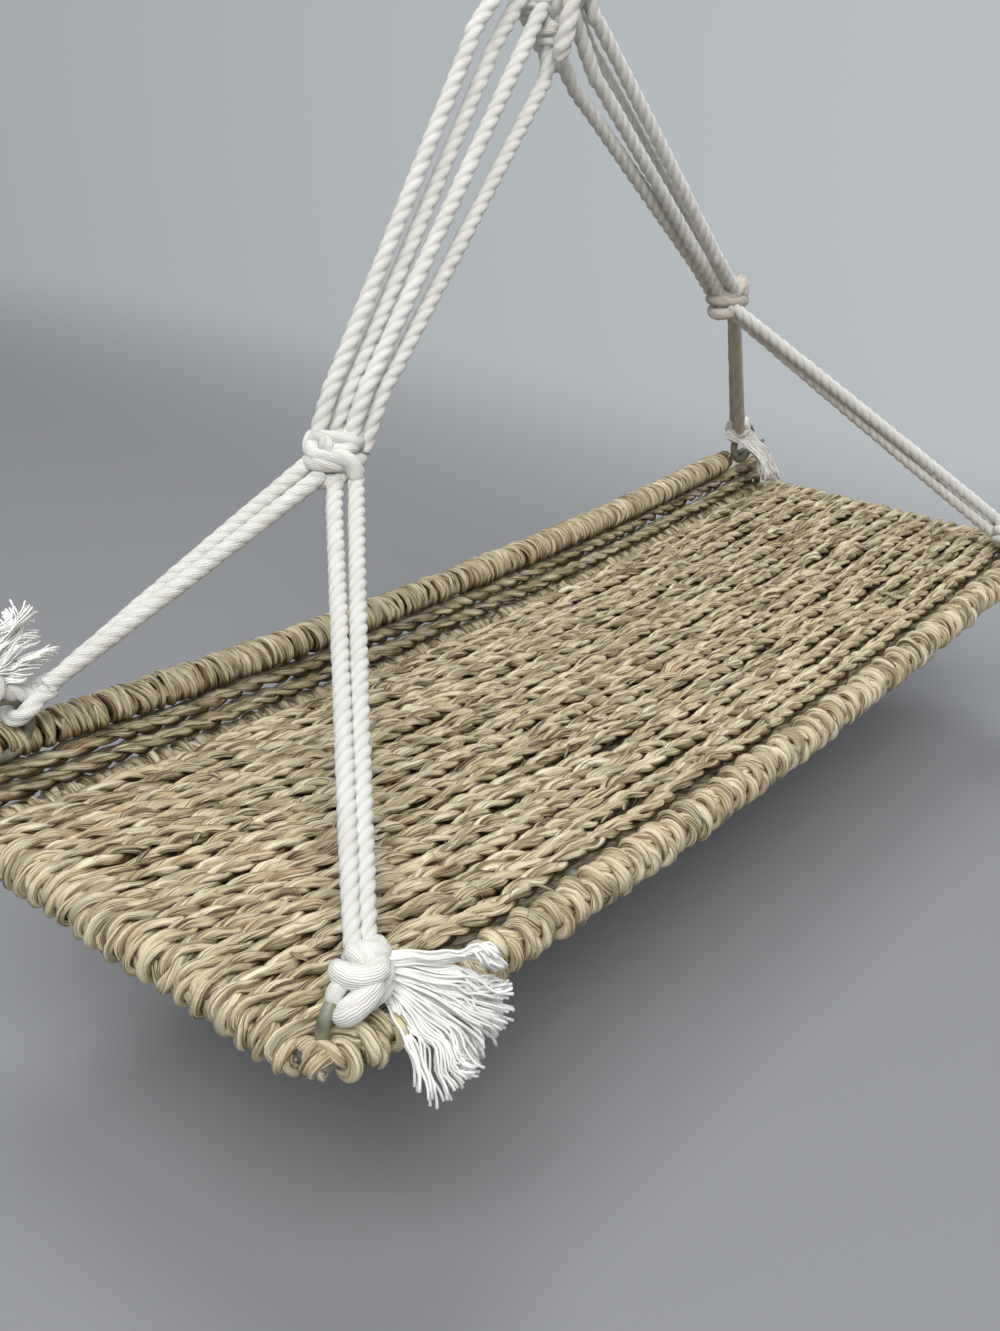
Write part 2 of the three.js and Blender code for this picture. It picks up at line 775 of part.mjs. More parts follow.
// A ball at the neck that the legs end on, so that the knot below can swing sideways
function neckClearance() {
  const reach = (neckRadius + fitGap) / Math.cos(Math.PI / sphereSegments);
  const sphere = new THREE.SphereGeometry(reach, sphereSegments, sphereSegments / 2);
  return stand(sphere, neck, hangAxis);
}

function leg({ depth, radius, neckX }, sign) {
  const head = hook.clone().addScaledVector(loopSide, depth);
  head.addScaledVector(across, sign * radius);
  const foot = neck.clone().addScaledVector(loopSide, depth);
  foot.addScaledVector(across, sign * neckX);
  const climb = head.clone().sub(foot).setLength(cordDiameter);
  const cutters = [overHook(0), neckClearance()];
  if (depth < 0) cutters.push(overHook(swingForward));
  return cutBy(rod(foot, head.add(climb), cordRadius, cordSides), cutters);
}

function addHangingLoop() {
  for (const bight of bights) {
    addPiece(`loop_crown_${bight.name}`, crown(bight), cottonMaterial());
    addPiece(`loop_leg_left_${bight.name}`, leg(bight, -1), cottonMaterial());
    addPiece(`loop_leg_right_${bight.name}`, leg(bight, 1), cottonMaterial());
  }
}

addFrame();
addWraps();
addFloorWeave();
addWallCords();
for (const [name, corner] of Object.entries(corners)) {
  addCorner(name, corner);
  addLowerCords(name, corner);
  addTassel(name, corner);
}
addGatherKnot('left_gather_knot', -1);
addGatherKnot('right_gather_knot', 1);
addPiece('top_knot', topKnot(0), cottonMaterial());
addUpperCords('left', -1);
addUpperCords('right', 1);
addHangingLoop();

export default model;
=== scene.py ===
# Hanging rope shelf: a grass-wound wire tray in a sling of twisted cotton cord.
# Places are written in millimetres from the middle of the front rail, as the shelf is measured on a
# bench, and turned into metres from the middle of the hook when a piece is made.

import random
from collections import namedtuple
from math import cos, pi, radians, sin, sqrt, tau

import bmesh
import bpy
from mathutils import Matrix, Vector, noise


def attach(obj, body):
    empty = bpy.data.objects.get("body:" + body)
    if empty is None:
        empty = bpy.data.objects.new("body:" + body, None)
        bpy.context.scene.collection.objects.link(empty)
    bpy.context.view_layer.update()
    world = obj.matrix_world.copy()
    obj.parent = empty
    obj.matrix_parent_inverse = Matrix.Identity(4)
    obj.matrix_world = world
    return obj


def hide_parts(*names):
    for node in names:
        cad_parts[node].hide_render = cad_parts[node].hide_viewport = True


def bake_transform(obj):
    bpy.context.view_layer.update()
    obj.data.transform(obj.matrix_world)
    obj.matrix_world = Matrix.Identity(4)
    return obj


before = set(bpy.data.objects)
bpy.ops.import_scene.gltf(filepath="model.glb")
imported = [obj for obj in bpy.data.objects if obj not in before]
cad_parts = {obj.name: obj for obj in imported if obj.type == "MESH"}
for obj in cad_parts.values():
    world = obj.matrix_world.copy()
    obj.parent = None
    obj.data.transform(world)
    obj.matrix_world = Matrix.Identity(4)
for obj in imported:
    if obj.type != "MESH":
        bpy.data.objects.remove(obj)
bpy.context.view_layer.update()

bl_info = {
    "name": "Hanging rope shelf",
    "version": (1, 0, 0),
    "blender": (4, 5, 0),
    "location": "3D Viewport > Sidebar > Rope shelf",
    "description": "Builds a grass-wound wire tray that hangs from knotted cotton cord",
    "category": "Add Mesh",
}

# The bench places that the solids share

ACROSS, BACK, UP = Vector((1, 0, 0)), Vector((0, 1, 0)), Vector((0, 0, 1))
HALF_LENGTH = 225.0
FLOOR_DEPTH = 142.0
RAIL_RISE = 26.0
RAIL_SAG = 8.5
HOOK = Vector((0.0, 137.0, 290.0))
HANG_AXIS = Vector((0.0, 0.2205, 1.0)).normalized()
LOOP_SIDE = (BACK - HANG_AXIS * HANG_AXIS.y).normalized()
NECK = HOOK - HANG_AXIS * 60.4
GATHERS = {"left": Vector((-113.4, 108.0, 94.0)), "right": Vector((113.4, 108.0, 115.5))}
GATHER_AXIS = (GATHERS["right"] - GATHERS["left"]).normalized()
GATHER_PAIR_OFFSET = 4.8
PAIR_SPACING = 5.6
EYELET_RADIUS = 8.5
CORNER_KNOT_DROP = 4.0
STOP_KNOT_REACH = 14.0
STOP_KNOT_WAY = Vector((-0.75, 0.0, 0.66)).normalized()
ROW_START = 10.1
ROW_COUNT = 19
ROW_PITCH = 6.794
ROW_LIFT = 4.685
CROSS_WIRES = (("left", -0.536), ("centre", 0.0), ("right", 0.536))

# How finely cords are cut along their length and round their outline
CORD_STEP = 0.62
CORD_SIDES = 24

# The vector noise takes its offsets from the clock unless it is seeded
NOISE_SEED = 1795886626

# Routes of the upper cords, numbered from the outermost: two places off the gather knot's middle,
# then two off the neck
UPPER_ROUTES = {
    "left": [
        [(-6.5, 3.2, 1), (1.1, 3.2, 18.1), (-39.4, -6, -18.1), (-11, -4.5, 7)],
        [(-0.3, 2.4, 2), (7.9, 2.2, 17.2), (-29.1, -4.5, -24), (-8, -3, -2)],
        [(1, -3.3, 2), (9.6, -3.4, 18.8), (-24.8, -9.5, -29.8), (-5.5, -6.5, -9)],
        [(7.5, -4, 1), (16.5, -4.2, 17.8), (-6.5, -7.5, -33.8), (-2.5, -5.5, -25)],
    ],
    "right": [
        [(-2.3, -5.5, 2.6), (-20.1, -6, 16.8), (14.2, -10, -12.6), (11, -7, 7)],
        [(1.9, 1, 1.5), (-15.9, 0.5, 15.7), (22.1, -3.5, -22.7), (7.5, -3, -3)],
        [(-7.6, -0.7, 2.5), (-25.4, -1.2, 16.7), (18.8, -9, -32.1), (6, -7, -11)],
        [(-4, 5.3, 1.5), (-21.8, 4.8, 15.7), (13.9, -4.5, -36.4), (3, -4.5, -25)],
    ],
}

# How far round each pair stands at its corner and at its gather knot, in degrees from level
PAIR_TURNS = {
    "front_left": (0, 0), "front_right": (80, 15), "back_left": (-30, 35), "back_right": (125, 105),
}

# How long each cord's twist is, as a share of the lay at rest
LAY_SHARES = {"front_left": 0.74, "front_right": 0.95, "back_left": 0.85, "back_right": 3.2}

# Three directions as the shelf is looked at from its front left: right, up and nearer
SEEN_RIGHT = Vector((0.630, -0.776, 0.031)).normalized()
SEEN_NEAR = Vector((-0.711, -0.560, 0.425)).normalized()
SEEN_UP = SEEN_NEAR.cross(SEEN_RIGHT)

# Where each corner's ring sits, and the cord's way from it: limb is the place on the ring where the
# cord hangs, and pull its direction from there through the corner knot to the gather knot
Corner = namedtuple("Corner", "sign front centre outward limb pull knot gather")


def lay_out_corner(sign, front, x, y, z):
    centre = Vector((sign * x, y, z))
    gather = GATHERS["left" if sign < 0 else "right"]
    outward = gather - centre
    outward.y = 0
    outward.normalize()
    limb = centre + outward * EYELET_RADIUS
    pull = (gather - limb).normalized()
    return Corner(sign, front, centre, outward, limb, pull, limb + pull * CORNER_KNOT_DROP, gather)


CORNERS = {
    "front_left": lay_out_corner(-1, True, 214.01, 3.7, 5.3),
    "front_right": lay_out_corner(1, True, 214.01, 3.7, 5.3),
    "back_left": lay_out_corner(-1, False, 214.01, 138.3, 31.3),
    "back_right": lay_out_corner(1, False, 198.01, 138.3, 31.3),
}


# Lines: smooth routes, even steps and the directions carried along them


def droop(x):
    share = x / HALF_LENGTH
    return -RAIL_SAG * (1 - share * share)


def in_frame(place):
    return (Vector(place) - HOOK) * 0.001


def arm(first, second, angle):
    """The direction at an angle from the first direction towards the second."""
    return first * cos(angle) + second * sin(angle)


def wander(along, scale, seed):
    """A smooth random value between about -1 and 1, the same on each run."""
    return noise.noise(Vector((along / scale, seed * 7.31, seed * 1.7)))


def even_steps(line, spacing):
    lengths = [0.0]
    for before, after in zip(line, line[1:]):
        lengths.append(lengths[-1] + (after - before).length)
    count = max(2, round(lengths[-1] / spacing))
    places = []
    span = 0
    for step in range(count + 1):
        wanted = lengths[-1] * step / count
        while span < len(line) - 2 and lengths[span + 1] < wanted:
            span += 1
        size = lengths[span + 1] - lengths[span]
        share = (wanted - lengths[span]) / size if size > 0 else 0
        places.append(line[span].lerp(line[span + 1], min(max(share, 0), 1)))
    return places


def smooth_line(points, spacing):
    """A smooth line through the places, cut into even steps."""
    places = [Vector(point) for point in points]
    dense = []
    for i in range(len(places) - 1):
        p0, p1 = places[max(i - 1, 0)], places[i]
        p2, p3 = places[i + 1], places[min(i + 2, len(places) - 1)]
        steps = max(2, int(2 * (p2 - p1).length / spacing))
        for k in range(steps):
            t = k / steps
            bend = 2 * p0 - 5 * p1 + 4 * p2 - p3
            turn = 3 * p1 - p0 - 3 * p2 + p3
            dense.append(0.5 * (2 * p1 + (p2 - p0) * t + bend * t * t + turn * t ** 3))
    dense.append(places[-1])
    return even_steps(dense, spacing)


def carried(line):
    """Two directions across a line at each place, which don't turn about it on the way."""
    alongs = []
    for i in range(len(line)):
        alongs.append((line[min(i + 1, len(line) - 1)] - line[max(i - 1, 0)]).normalized())
    side = alongs[0].orthogonal().normalized()
    found = []
    for along in alongs:
        side = (side - along * side.dot(along)).normalized()
        found.append((side, along.cross(side)))
    return found


def seen(base, places):
    """Places given right, up and nearer from a base, as the shelf is looked at."""
    return [base + SEEN_RIGHT * r + SEEN_UP * u + SEEN_NEAR * n for r, u, n in places]


def line_length(line):
    return sum((b - a).length for a, b in zip(line, line[1:]))


def distances(line):
    """How far along an evenly cut line each of its places lies."""
    size = line_length(line)
    return [size * i / (len(line) - 1) for i in range(len(line))]


# Sections that are swept along the lines, each a small closed outline of about unit radius


def add_object(name, data):
    made = bpy.data.objects.new(name, data)
    bpy.context.scene.collection.objects.link(made)
    return made


def put_away(*shapes):
    for shape in shapes:
        curve = shape.data
        bpy.data.objects.remove(shape)
        bpy.data.curves.remove(curve)


def outline(name, radii):
    """A closed outline whose radius is given at even angles."""
    curve = bpy.data.curves.new(name, "CURVE")
    curve.dimensions = "2D"
    spline = curve.splines.new("POLY")
    spline.points.add(len(radii) - 1)
    for i, point in enumerate(spline.points):
        angle = -tau * i / len(radii)
        point.co = (radii[i] * cos(angle), radii[i] * sin(angle), 0, 1)
    spline.use_cyclic_u = True
    return add_object(name, curve)


def round_outline(sides):
    return outline("round outline", [1.0] * sides)


def cord_outline(strands=3, middle=0.32):
    """Strands laid together: a lobe for each, and a crease between them."""
    strand = 1 - middle
    radii = []
    for i in range(CORD_SIDES):
        angle = (tau * i / CORD_SIDES) % (tau / strands)
        angle = min(angle, tau / strands - angle)
        inward = strand ** 2 - (middle * sin(angle)) ** 2
        radii.append(middle * cos(angle) + sqrt(inward))
    return outline("cord outline", radii)


def knot_outlines():
    """The outline of a cord in a knot, and a smoother one for the turns that are drawn tight."""
    return cord_outline(), cord_outline(5, 0.2)


def blade_outline(sides, seed):
    """A bundle of folded leaf blades: an oval outline with a few sharp folds."""
    chance = random.Random(seed)
    folds = {chance.randrange(sides) for fold in range(max(2, sides // 4))}
    lean = chance.uniform(0, pi)
    radii = []
    for i in range(sides):
        oval = 1 + 0.13 * cos(2 * tau * i / sides + lean)
        radii.append(oval * (0.84 if i in folds else 1 + chance.uniform(-0.04, 0.07)))
    return outline("blade outline", radii)


# A piece under the hand: strands swept one after another into one mesh


class Piecework:
    def __init__(self, name):
        self.name = name
        self.mesh = bmesh.new()
        self.strands = 0

    def sweep(self, shape, line, radii, turns=0.0, tone=None, core=None, reach=(0, 1), below=None):
        """Sweep an outline along a line. Its UVs run in millimetres along and from 0 to 1 around,
        and a tone between 0 and 1 is kept on its points. With a core line, the points also keep
        how far out they lie: 0 at the near reach from the core, in a crease, and 1 at the far one.
        Points far below the core are low as well: below gives how far down that starts, and over
        what height."""
        count = len(line)
        curve = bpy.data.curves.new("strand", "CURVE")
        curve.dimensions = "3D"
        curve.bevel_mode = "OBJECT"
        curve.bevel_object = shape
        curve.use_fill_caps = True
        curve.twist_mode = "MINIMUM"
        spline = curve.splines.new("POLY")
        spline.points.add(count - 1)
        places = []
        for place in line:
            places.extend((*in_frame(place), 1.0))
        spline.points.foreach_set("co", places)
        if not hasattr(radii, "__len__"):
            radii = [radii] * count
        spline.points.foreach_set("radius", [radius * 0.001 for radius in radii])
        if not hasattr(turns, "__len__"):
            turns = [turns * i / (count - 1) for i in range(count)]
        spline.points.foreach_set("tilt", turns)
        strand = add_object("strand", curve)
        ready = strand.evaluated_get(bpy.context.evaluated_depsgraph_get())
        mesh = bpy.data.meshes.new_from_object(ready)
        layer = mesh.uv_layers[0].uv
        values = [0.0] * (2 * len(layer))
        layer.foreach_get("vector", values)
        size = line_length(line)
        values[0::2] = [value * size for value in values[0::2]]
        layer.foreach_set("vector", values)
        # The cotton material reads the tone as how far to tint the cord beige as painted shade; the
        # grass material reads it as each strand's own colour.
        if tone is None:
            tone = (self.strands * 0.61803) % 1
        # The depth is where the grass material paints shade: low in the creases between strands and
        # on the undersides.
        depths = [1.0] * len(mesh.vertices)
        if core:
            sides = len(shape.data.splines[0].points)
            middles = [in_frame(place) for place in core]
            for k, vert in enumerate(mesh.vertices):
                middle = middles[min(k // sides, count - 1)]
                away = (vert.co - middle).length * 1000
                depths[k] = (away - reach[0]) / (reach[1] - reach[0])
                if below:
                    above = (vert.co.z - middle.z) * 1000
                    turned = max(0, abs(middle.x) * 1000 - 214)
                    depths[k] = min(depths[k], (above + below[0] + turned) / below[1])
        for name, values in (("tone", [tone] * len(depths)), ("depth", depths)):
            mesh.attributes.new(name, "FLOAT", "POINT").data.foreach_set("value", values)
        self.mesh.from_mesh(mesh)
        self.strands += 1
        put_away(strand)
        bpy.data.meshes.remove(mesh)

    def rope(self, shape, points, thick, lay_share, phase, seed, taper=4, tone=0.0):
        """Sweep a stretch of cord through places of a knot, with its ends tapered."""
        cords = bpy.context.scene.ropeshelf_cords
        radius, lay = cords.thickness * 500 * thick, cords.lay * 1000 * lay_share
        line = smooth_line(points, CORD_STEP)
        alongs = distances(line)
        radii = [radius * (1 + 0.05 * wander(along, 6, seed)) for along in alongs]
        for i in range(taper):
            radii[i] *= 0.55 + 0.45 * i / taper
            radii[-1 - i] *= 0.55 + 0.45 * i / taper
        self.sweep(shape, line, radii, [phase + tau * along / lay for along in alongs], tone)

    def roughen(self, size, amount, seed):
        """Push the surface in and out a little, so that no two strands are the same."""
        noise.seed_set(NOISE_SEED)
        for vert in self.mesh.verts:
            place = vert.co * (1000 / size) + Vector((seed, 0, 0))
            vert.co += noise.noise_vector(place) * amount * 0.001

    def done(self, look, body, *stands_for):
        """Make the piece, in one of the looks, on a body and in place of solids."""
        bmesh.ops.remove_doubles(self.mesh, verts=self.mesh.verts, dist=1e-7)
        for face in self.mesh.faces:
            face.smooth = True
            face.material_index = 0
        mesh = bpy.data.meshes.new(self.name)
        self.mesh.to_mesh(mesh)
        self.mesh.free()
        mesh.materials.clear()
        mesh.materials.append(material(look))
        piece = add_object(self.name, mesh)
        if body:
            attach(piece, body)
        if stands_for:
            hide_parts(*stands_for)
        return piece


# Materials


class Paint:
    """A node tree under the hand."""

    def __init__(self, tree):
        self.tree = tree
        self.where = self.node("ShaderNodeTexCoord")
        self.place = self.where.outputs["Object"]

    def fill(self, made, inputs):
        for key, value in inputs.items():
            socket = made.inputs[key]
            if isinstance(value, bpy.types.NodeSocket):
                self.tree.links.new(value, socket)
            elif socket.type == "RGBA":
                socket.default_value = (*value[:3], 1)
            else:
                socket.default_value = value
        return made

    def node(self, kind, inputs=None, **settings):
        made = self.tree.nodes.new(kind)
        for key, value in settings.items():
            setattr(made, key, value)
        return self.fill(made, inputs or {})

    def math(self, operation, *values):
        return self.node("ShaderNodeMath", dict(enumerate(values)), operation=operation).outputs[0]

    def noise(self, place, scale, detail=2.0, roughness=0.5):
        return self.node("ShaderNodeTexNoise", {
            "Vector": place, "Scale": scale, "Detail": detail, "Roughness": roughness,
        }).outputs["Fac"]

    def ramp(self, factor, *stops):
        made = self.node("ShaderNodeValToRGB", {"Fac": factor})
        elements = made.color_ramp.elements
        while len(elements) < len(stops):
            elements.new(0.5)
        for element, (position, colour) in zip(elements, stops):
            element.position = position
            element.color = (*colour[:3], 1)
        return made.outputs["Color"]

    def mix(self, factor, first, second, blend_type="MIX"):
        return self.node("ShaderNodeMix", {
            0: factor, 6: first, 7: second,
        }, data_type="RGBA", blend_type=blend_type).outputs[2]

    def parts(self, source):
        """The three parts of one of the coordinates, of which UV runs along and around a strand."""
        return self.node("ShaderNodeSeparateXYZ", {"Vector": self.where.outputs[source]}).outputs

    def attribute(self, name):
        return self.node("ShaderNodeAttribute", attribute_name=name).outputs["Fac"]

    def finish(self, strength, distance, height, inputs):
        """Give the shader a bump and its other inputs."""
        bump = self.node("ShaderNodeBump", {
            "Strength": strength, "Distance": distance, "Height": height,
        })
        shader = self.tree.nodes["Principled BSDF"]
        return self.fill(shader, {"Normal": bump.outputs["Normal"], **inputs})


def paint_cotton(paint, finish):
    """Soft white cotton: yarns that run along each strand, and a faint fuzz."""
    along, around, _ = paint.parts("UV")
    slant = paint.math("MULTIPLY_ADD", around, 27.0, paint.math("MULTIPLY", along, 0.42))
    phase = paint.math("MULTIPLY_ADD", paint.noise(paint.place, 700.0), 1.1, slant)
    yarns = paint.math("SINE", paint.math("MULTIPLY", phase, tau))
    fuzz = paint.noise(paint.place, 2600.0, 3.0)
    patches = paint.noise(paint.place, 120.0)
    shade = paint.ramp(patches, (0.3, finish.cotton_shade), (0.62, finish.cotton_colour))
    # Painted highlight and shade: the yarns' crowns are lighter and the grooves between them
    # darker, following the yarns' bump.
    crown = paint.math("MULTIPLY_ADD", yarns, 0.5, 0.5)
    colour = paint.mix(paint.math("MULTIPLY", crown, 0.55), shade, finish.cotton_light)
    # Painted shade: by its tone, a piece is tinted beige to stand for shade and the warm light
    # bounced off the grass.
    colour = paint.mix(paint.attribute("tone"), colour, finish.cotton_painted_shade)
    # Painted shade: the cotton is darkened in the creases between its three strands.
    lobe = paint.math("FRACT", paint.math("MULTIPLY", around, 3.0))
    off = paint.math("ABSOLUTE", paint.math("SUBTRACT", lobe, 0.5))
    crease = paint.ramp(off, (0.0, finish.cotton_crease_shade), (0.22, (1, 1, 1)))
    paint.finish(0.7, 0.00035, paint.math("MULTIPLY_ADD", yarns, 0.45, fuzz), {
        "Base Color": paint.mix(1.0, colour, crease, "MULTIPLY"), "Roughness": 0.92,
        "Sheen Weight": 0.25, "Sheen Roughness": 0.6, "Specular IOR Level": 0.2,
    })


def paint_yarn(paint, finish):
    """The loose yarns: brighter than the cord, with a fine twist of their own."""
    along, around, _ = paint.parts("UV")
    phase = paint.math("MULTIPLY_ADD", along, 0.9, around)
    twist = paint.math("SINE", paint.math("MULTIPLY", phase, 2 * tau))
    patches = paint.noise(paint.place, 160.0)
    paint.finish(0.4, 0.0001, paint.math("MULTIPLY_ADD", twist, 0.5, 0.5), {
        "Base Color": paint.ramp(patches, (0.3, finish.cotton_colour), (0.6, finish.cotton_light)),
        "Roughness": 0.85, "Sheen Weight": 0.2, "Specular IOR Level": 0.2,
    })


def paint_grass(paint, finish):
    """Dried seagrass: blades in straw, grey-green and tan, with fine ribs along them."""
    along, around, _ = paint.parts("UV")
    own = paint.math("MULTIPLY", paint.attribute("tone"), 97.0)

    def streaks(run, share, layer, scale, detail, roughness=0.5):
        """Noise that is drawn out along a strand, and differs from one to the next."""
        place = paint.node("ShaderNodeCombineXYZ", {
            "X": paint.math("MULTIPLY", along, run), "Y": paint.math("MULTIPLY", around, share),
            "Z": layer,
        })
        return paint.noise(place.outputs[0], scale, detail, roughness)

    blades = streaks(0.05, 6.0, own, 1.0, 2.0)
    hues = streaks(0.035, 1.5, paint.math("ADD", own, 31.0), 1.3, 1.0)
    ribs = streaks(0.09, 17.0, own, 1.0, 3.0, 0.6)
    colour = paint.ramp(
        blades, (0.24, finish.grass_brown), (0.36, finish.grass_dark), (0.48, finish.grass_straw),
        (0.68, finish.grass_light),
    )
    greens = paint.ramp(hues, (0.60, (0, 0, 0)), (0.70, (0.65, 0.65, 0.65)))
    tans = paint.ramp(hues, (0.26, (0.45, 0.45, 0.45)), (0.36, (0, 0, 0)))
    colour = paint.mix(greens, colour, finish.grass_green)
    colour = paint.mix(tans, colour, finish.grass_tan)
    lines = paint.ramp(ribs, (0.39, (0.26, 0.20, 0.14)), (0.45, (1, 1, 1)))
    colour = paint.mix(0.85, colour, lines, "MULTIPLY")
    # Painted shade: the grass is darkened in the creases between strands and on their undersides,
    # by the depth kept on the points.
    uneven = paint.math("SUBTRACT", blades, 0.5)
    depth = paint.math("MULTIPLY_ADD", uneven, 0.9, paint.attribute("depth"))
    crease_and_underside_shade = paint.ramp(
        depth, (0.08, (0.11, 0.075, 0.04)), (0.36, (0.48, 0.40, 0.30)), (0.68, (1, 1, 1)),
    )
    height = paint.math("MULTIPLY_ADD", paint.noise(paint.place, 1800.0, 3.0), 0.25, ribs)
    paint.finish(1.0, 0.0011, paint.math("ADD", height, blades), {
        "Base Color": paint.mix(1.0, colour, crease_and_underside_shade, "MULTIPLY"),
        "Roughness": paint.math("MULTIPLY_ADD", ribs, 0.35, 0.42), "Specular IOR Level": 0.35,
    })


def paint_wire(paint, finish):
    """Painted wire: a grey-green coat, a little worn."""
    wear = paint.noise(paint.place, 260.0, 4.0, 0.6)
    paint.finish(0.4, 0.0002, wear, {
        "Base Color": paint.ramp(
            wear, (0.35, finish.wire_dark), (0.52, finish.wire_colour), (0.75, finish.wire_light),
        ),
        "Roughness": paint.math("MULTIPLY_ADD", wear, 0.3, 0.3), "Metallic": 0.15,
    })


def paint_floor(paint, finish):
    """A pale floor that fades into the backdrop's colour a few paces off."""
    shader = paint.fill(paint.tree.nodes["Principled BSDF"], {
        "Base Color": finish.floor_colour, "Roughness": 0.95, "Specular IOR Level": 0.1,
    })
    # Painted light: the fade is centred off to the left, so the ground runs from the darker floor
    # on the left into the lighter backdrop on the right.
    squeezed = paint.node("ShaderNodeVectorMath", {
        0: paint.place, 1: (1, 0.35, 0),
    }, operation="MULTIPLY")
    away = paint.node("ShaderNodeVectorMath", {
        0: squeezed.outputs[0], 1: (-0.35, 0.16, 0),
    }, operation="DISTANCE")
    fade = paint.node("ShaderNodeMapRange", {
        "Value": away.outputs["Value"], "From Min": 0.55, "From Max": 1.12,
    }, interpolation_type="SMOOTHSTEP")
    clear = paint.node("ShaderNodeBsdfTransparent")
    mix = paint.node("ShaderNodeMixShader", {
        0: fade.outputs["Result"], 1: shader.outputs[0], 2: clear.outputs[0],
    })
    paint.fill(paint.tree.nodes["Material Output"], {"Surface": mix.outputs[0]})


# Each look's painter, and the material slot of the solids that it stands for
LOOKS = {
    "twisted cotton": (paint_cotton, "cotton_cord"),
    "loose yarn": (paint_yarn, "cotton_cord"),
    "dried seagrass": (paint_grass, "seagrass"),
    "painted wire": (paint_wire, "painted_wire"),
    "pale floor": (paint_floor, None),
}


def material(look):
    made = bpy.data.materials.get(look)
    if not made:
        made = bpy.data.materials.new(look)
        made.use_nodes = True
        LOOKS[look][0](Paint(made.node_tree), bpy.context.scene.ropeshelf_finish)
    return made


# Sizes and colours that can be changed

# The radius of a strand at which the rail wraps have their own sizes
USUAL_STRAND = 0.00155


def length_property(name, description, default):
    return bpy.props.FloatProperty(
        name=name, description=description, default=default, min=0.0001, soft_max=0.1,
        subtype="DISTANCE", unit="LENGTH", precision=4,
    )


def count_property(name, description, default):
    return bpy.props.IntProperty(name=name, description=description, default=default, min=0)


def colour_property(name, description, default):
    return bpy.props.FloatVectorProperty(
        name=name, description=description, default=default, size=3, min=0, max=1, subtype="COLOR",
    )


class RopeShelfCords(bpy.types.PropertyGroup):
    thickness: length_property("Cord thickness", "Thickness of the cotton cord", 0.0052)
    lay: length_property("Lay", "Length of one full twist of a cord at rest", 0.0156)
    yarn: length_property("Yarn thickness", "Thickness of a yarn in the frayed ends", 0.0007)
    yarns: count_property("Yarns", "Yarns in each large frayed end", 225)


class RopeShelfGrass(bpy.types.PropertyGroup):
    strand: length_property("Strand", "Radius of one of a row's three strands", USUAL_STRAND)
    throw: length_property("Throw", "How far a strand lies from the middle of its row", 0.0016)
    lay: length_property("Lay", "Length of one full twist of a row", 0.0255)
    bits: count_property("Loose bits", "Loose leaf bits and fibres on the grass", 330)


class RopeShelfWire(bpy.types.PropertyGroup):
    thickness: length_property("Wire thickness", "Thickness of the tray's painted wire", 0.0034)


class RopeShelfFinish(bpy.types.PropertyGroup):
    cotton_colour: colour_property("Cotton", "Main colour of the cord", (0.84, 0.83, 0.785))
    cotton_shade: colour_property("Cotton shade", "Duller patches of the cord", (0.74, 0.725, 0.66))
    # On the cord, the painted highlight on the yarns' crowns; on the loose yarns, their paler
    # patches.
    cotton_light: colour_property("Cotton light", "Crowns of the yarns", (0.93, 0.93, 0.90))
    # Painted shade in the creases between the cord's strands.
    cotton_crease_shade: colour_property("Cotton crease", "Tint between the strands", (0.86, 0.845, 0.81))
    # Painted shade: the beige that shaded cord is tinted with, where a piece is given a tone.
    cotton_painted_shade: colour_property(
        "Worn cotton", "Beige of the most handled cord", (0.52, 0.44, 0.35),
    )
    grass_straw: colour_property("Straw", "Main colour of the grass", (0.64, 0.53, 0.34))
    grass_light: colour_property("Light straw", "Palest blades", (0.90, 0.81, 0.61))
    grass_dark: colour_property("Dark straw", "Darker blades", (0.30, 0.235, 0.14))
    grass_brown: colour_property("Brown", "Brown edges and stains", (0.09, 0.058, 0.032))
    grass_green: colour_property("Grey green", "Greenish blades", (0.42, 0.39, 0.27))
    grass_tan: colour_property("Tan", "Reddish blades", (0.56, 0.37, 0.19))
    wire_colour: colour_property("Wire", "Coat of the wire", (0.23, 0.23, 0.165))
    wire_dark: colour_property("Wire dark", "Darker spots of the coat", (0.15, 0.15, 0.11))
    wire_light: colour_property("Wire light", "Worn spots of the coat", (0.33, 0.33, 0.26))
    floor_colour: colour_property("Floor", "Colour of the pale floor", (0.265, 0.272, 0.283))
    # Painted light: the backdrop runs from darker on the left to lighter on the right.
    backdrop_dark: colour_property(
        "Backdrop", "Colour behind the shelf on the left", (0.28, 0.295, 0.305),
    )
    backdrop_light: colour_property(
        "Backdrop light", "Colour behind it on the right", (0.49, 0.52, 0.54),
    )


# The stage: camera, lights, world and floor

FLOOR_HEIGHT = -0.385
LAMPS = (
    ("key", (-1.1, -0.9, 1.3), 1.3, 38.0), ("fill", (1.4, -1.3, 0.5), 1.6, 4.0),
    ("top", (0.1, 0.2, 1.9), 1.1, 17.0), ("rear", (0.4, 1.9, 0.8), 1.4, 2.5),
)


def set_camera(scene):
    right = Vector((0.6298, -0.7761, 0.0313)).normalized()
    upward = Vector((0.3125, 0.2900, 0.9046)).normalized()
    backward = right.cross(upward).normalized()
    turn = Matrix((right, backward.cross(right), backward)).transposed().to_4x4()
    lens = bpy.data.cameras.new("camera")
    lens.lens = 35.58
    lens.clip_start = 0.01
    scene.camera = add_object("camera", lens)
    scene.camera.matrix_world = Matrix.Translation((-0.381, -0.3051, -0.0836)) @ turn


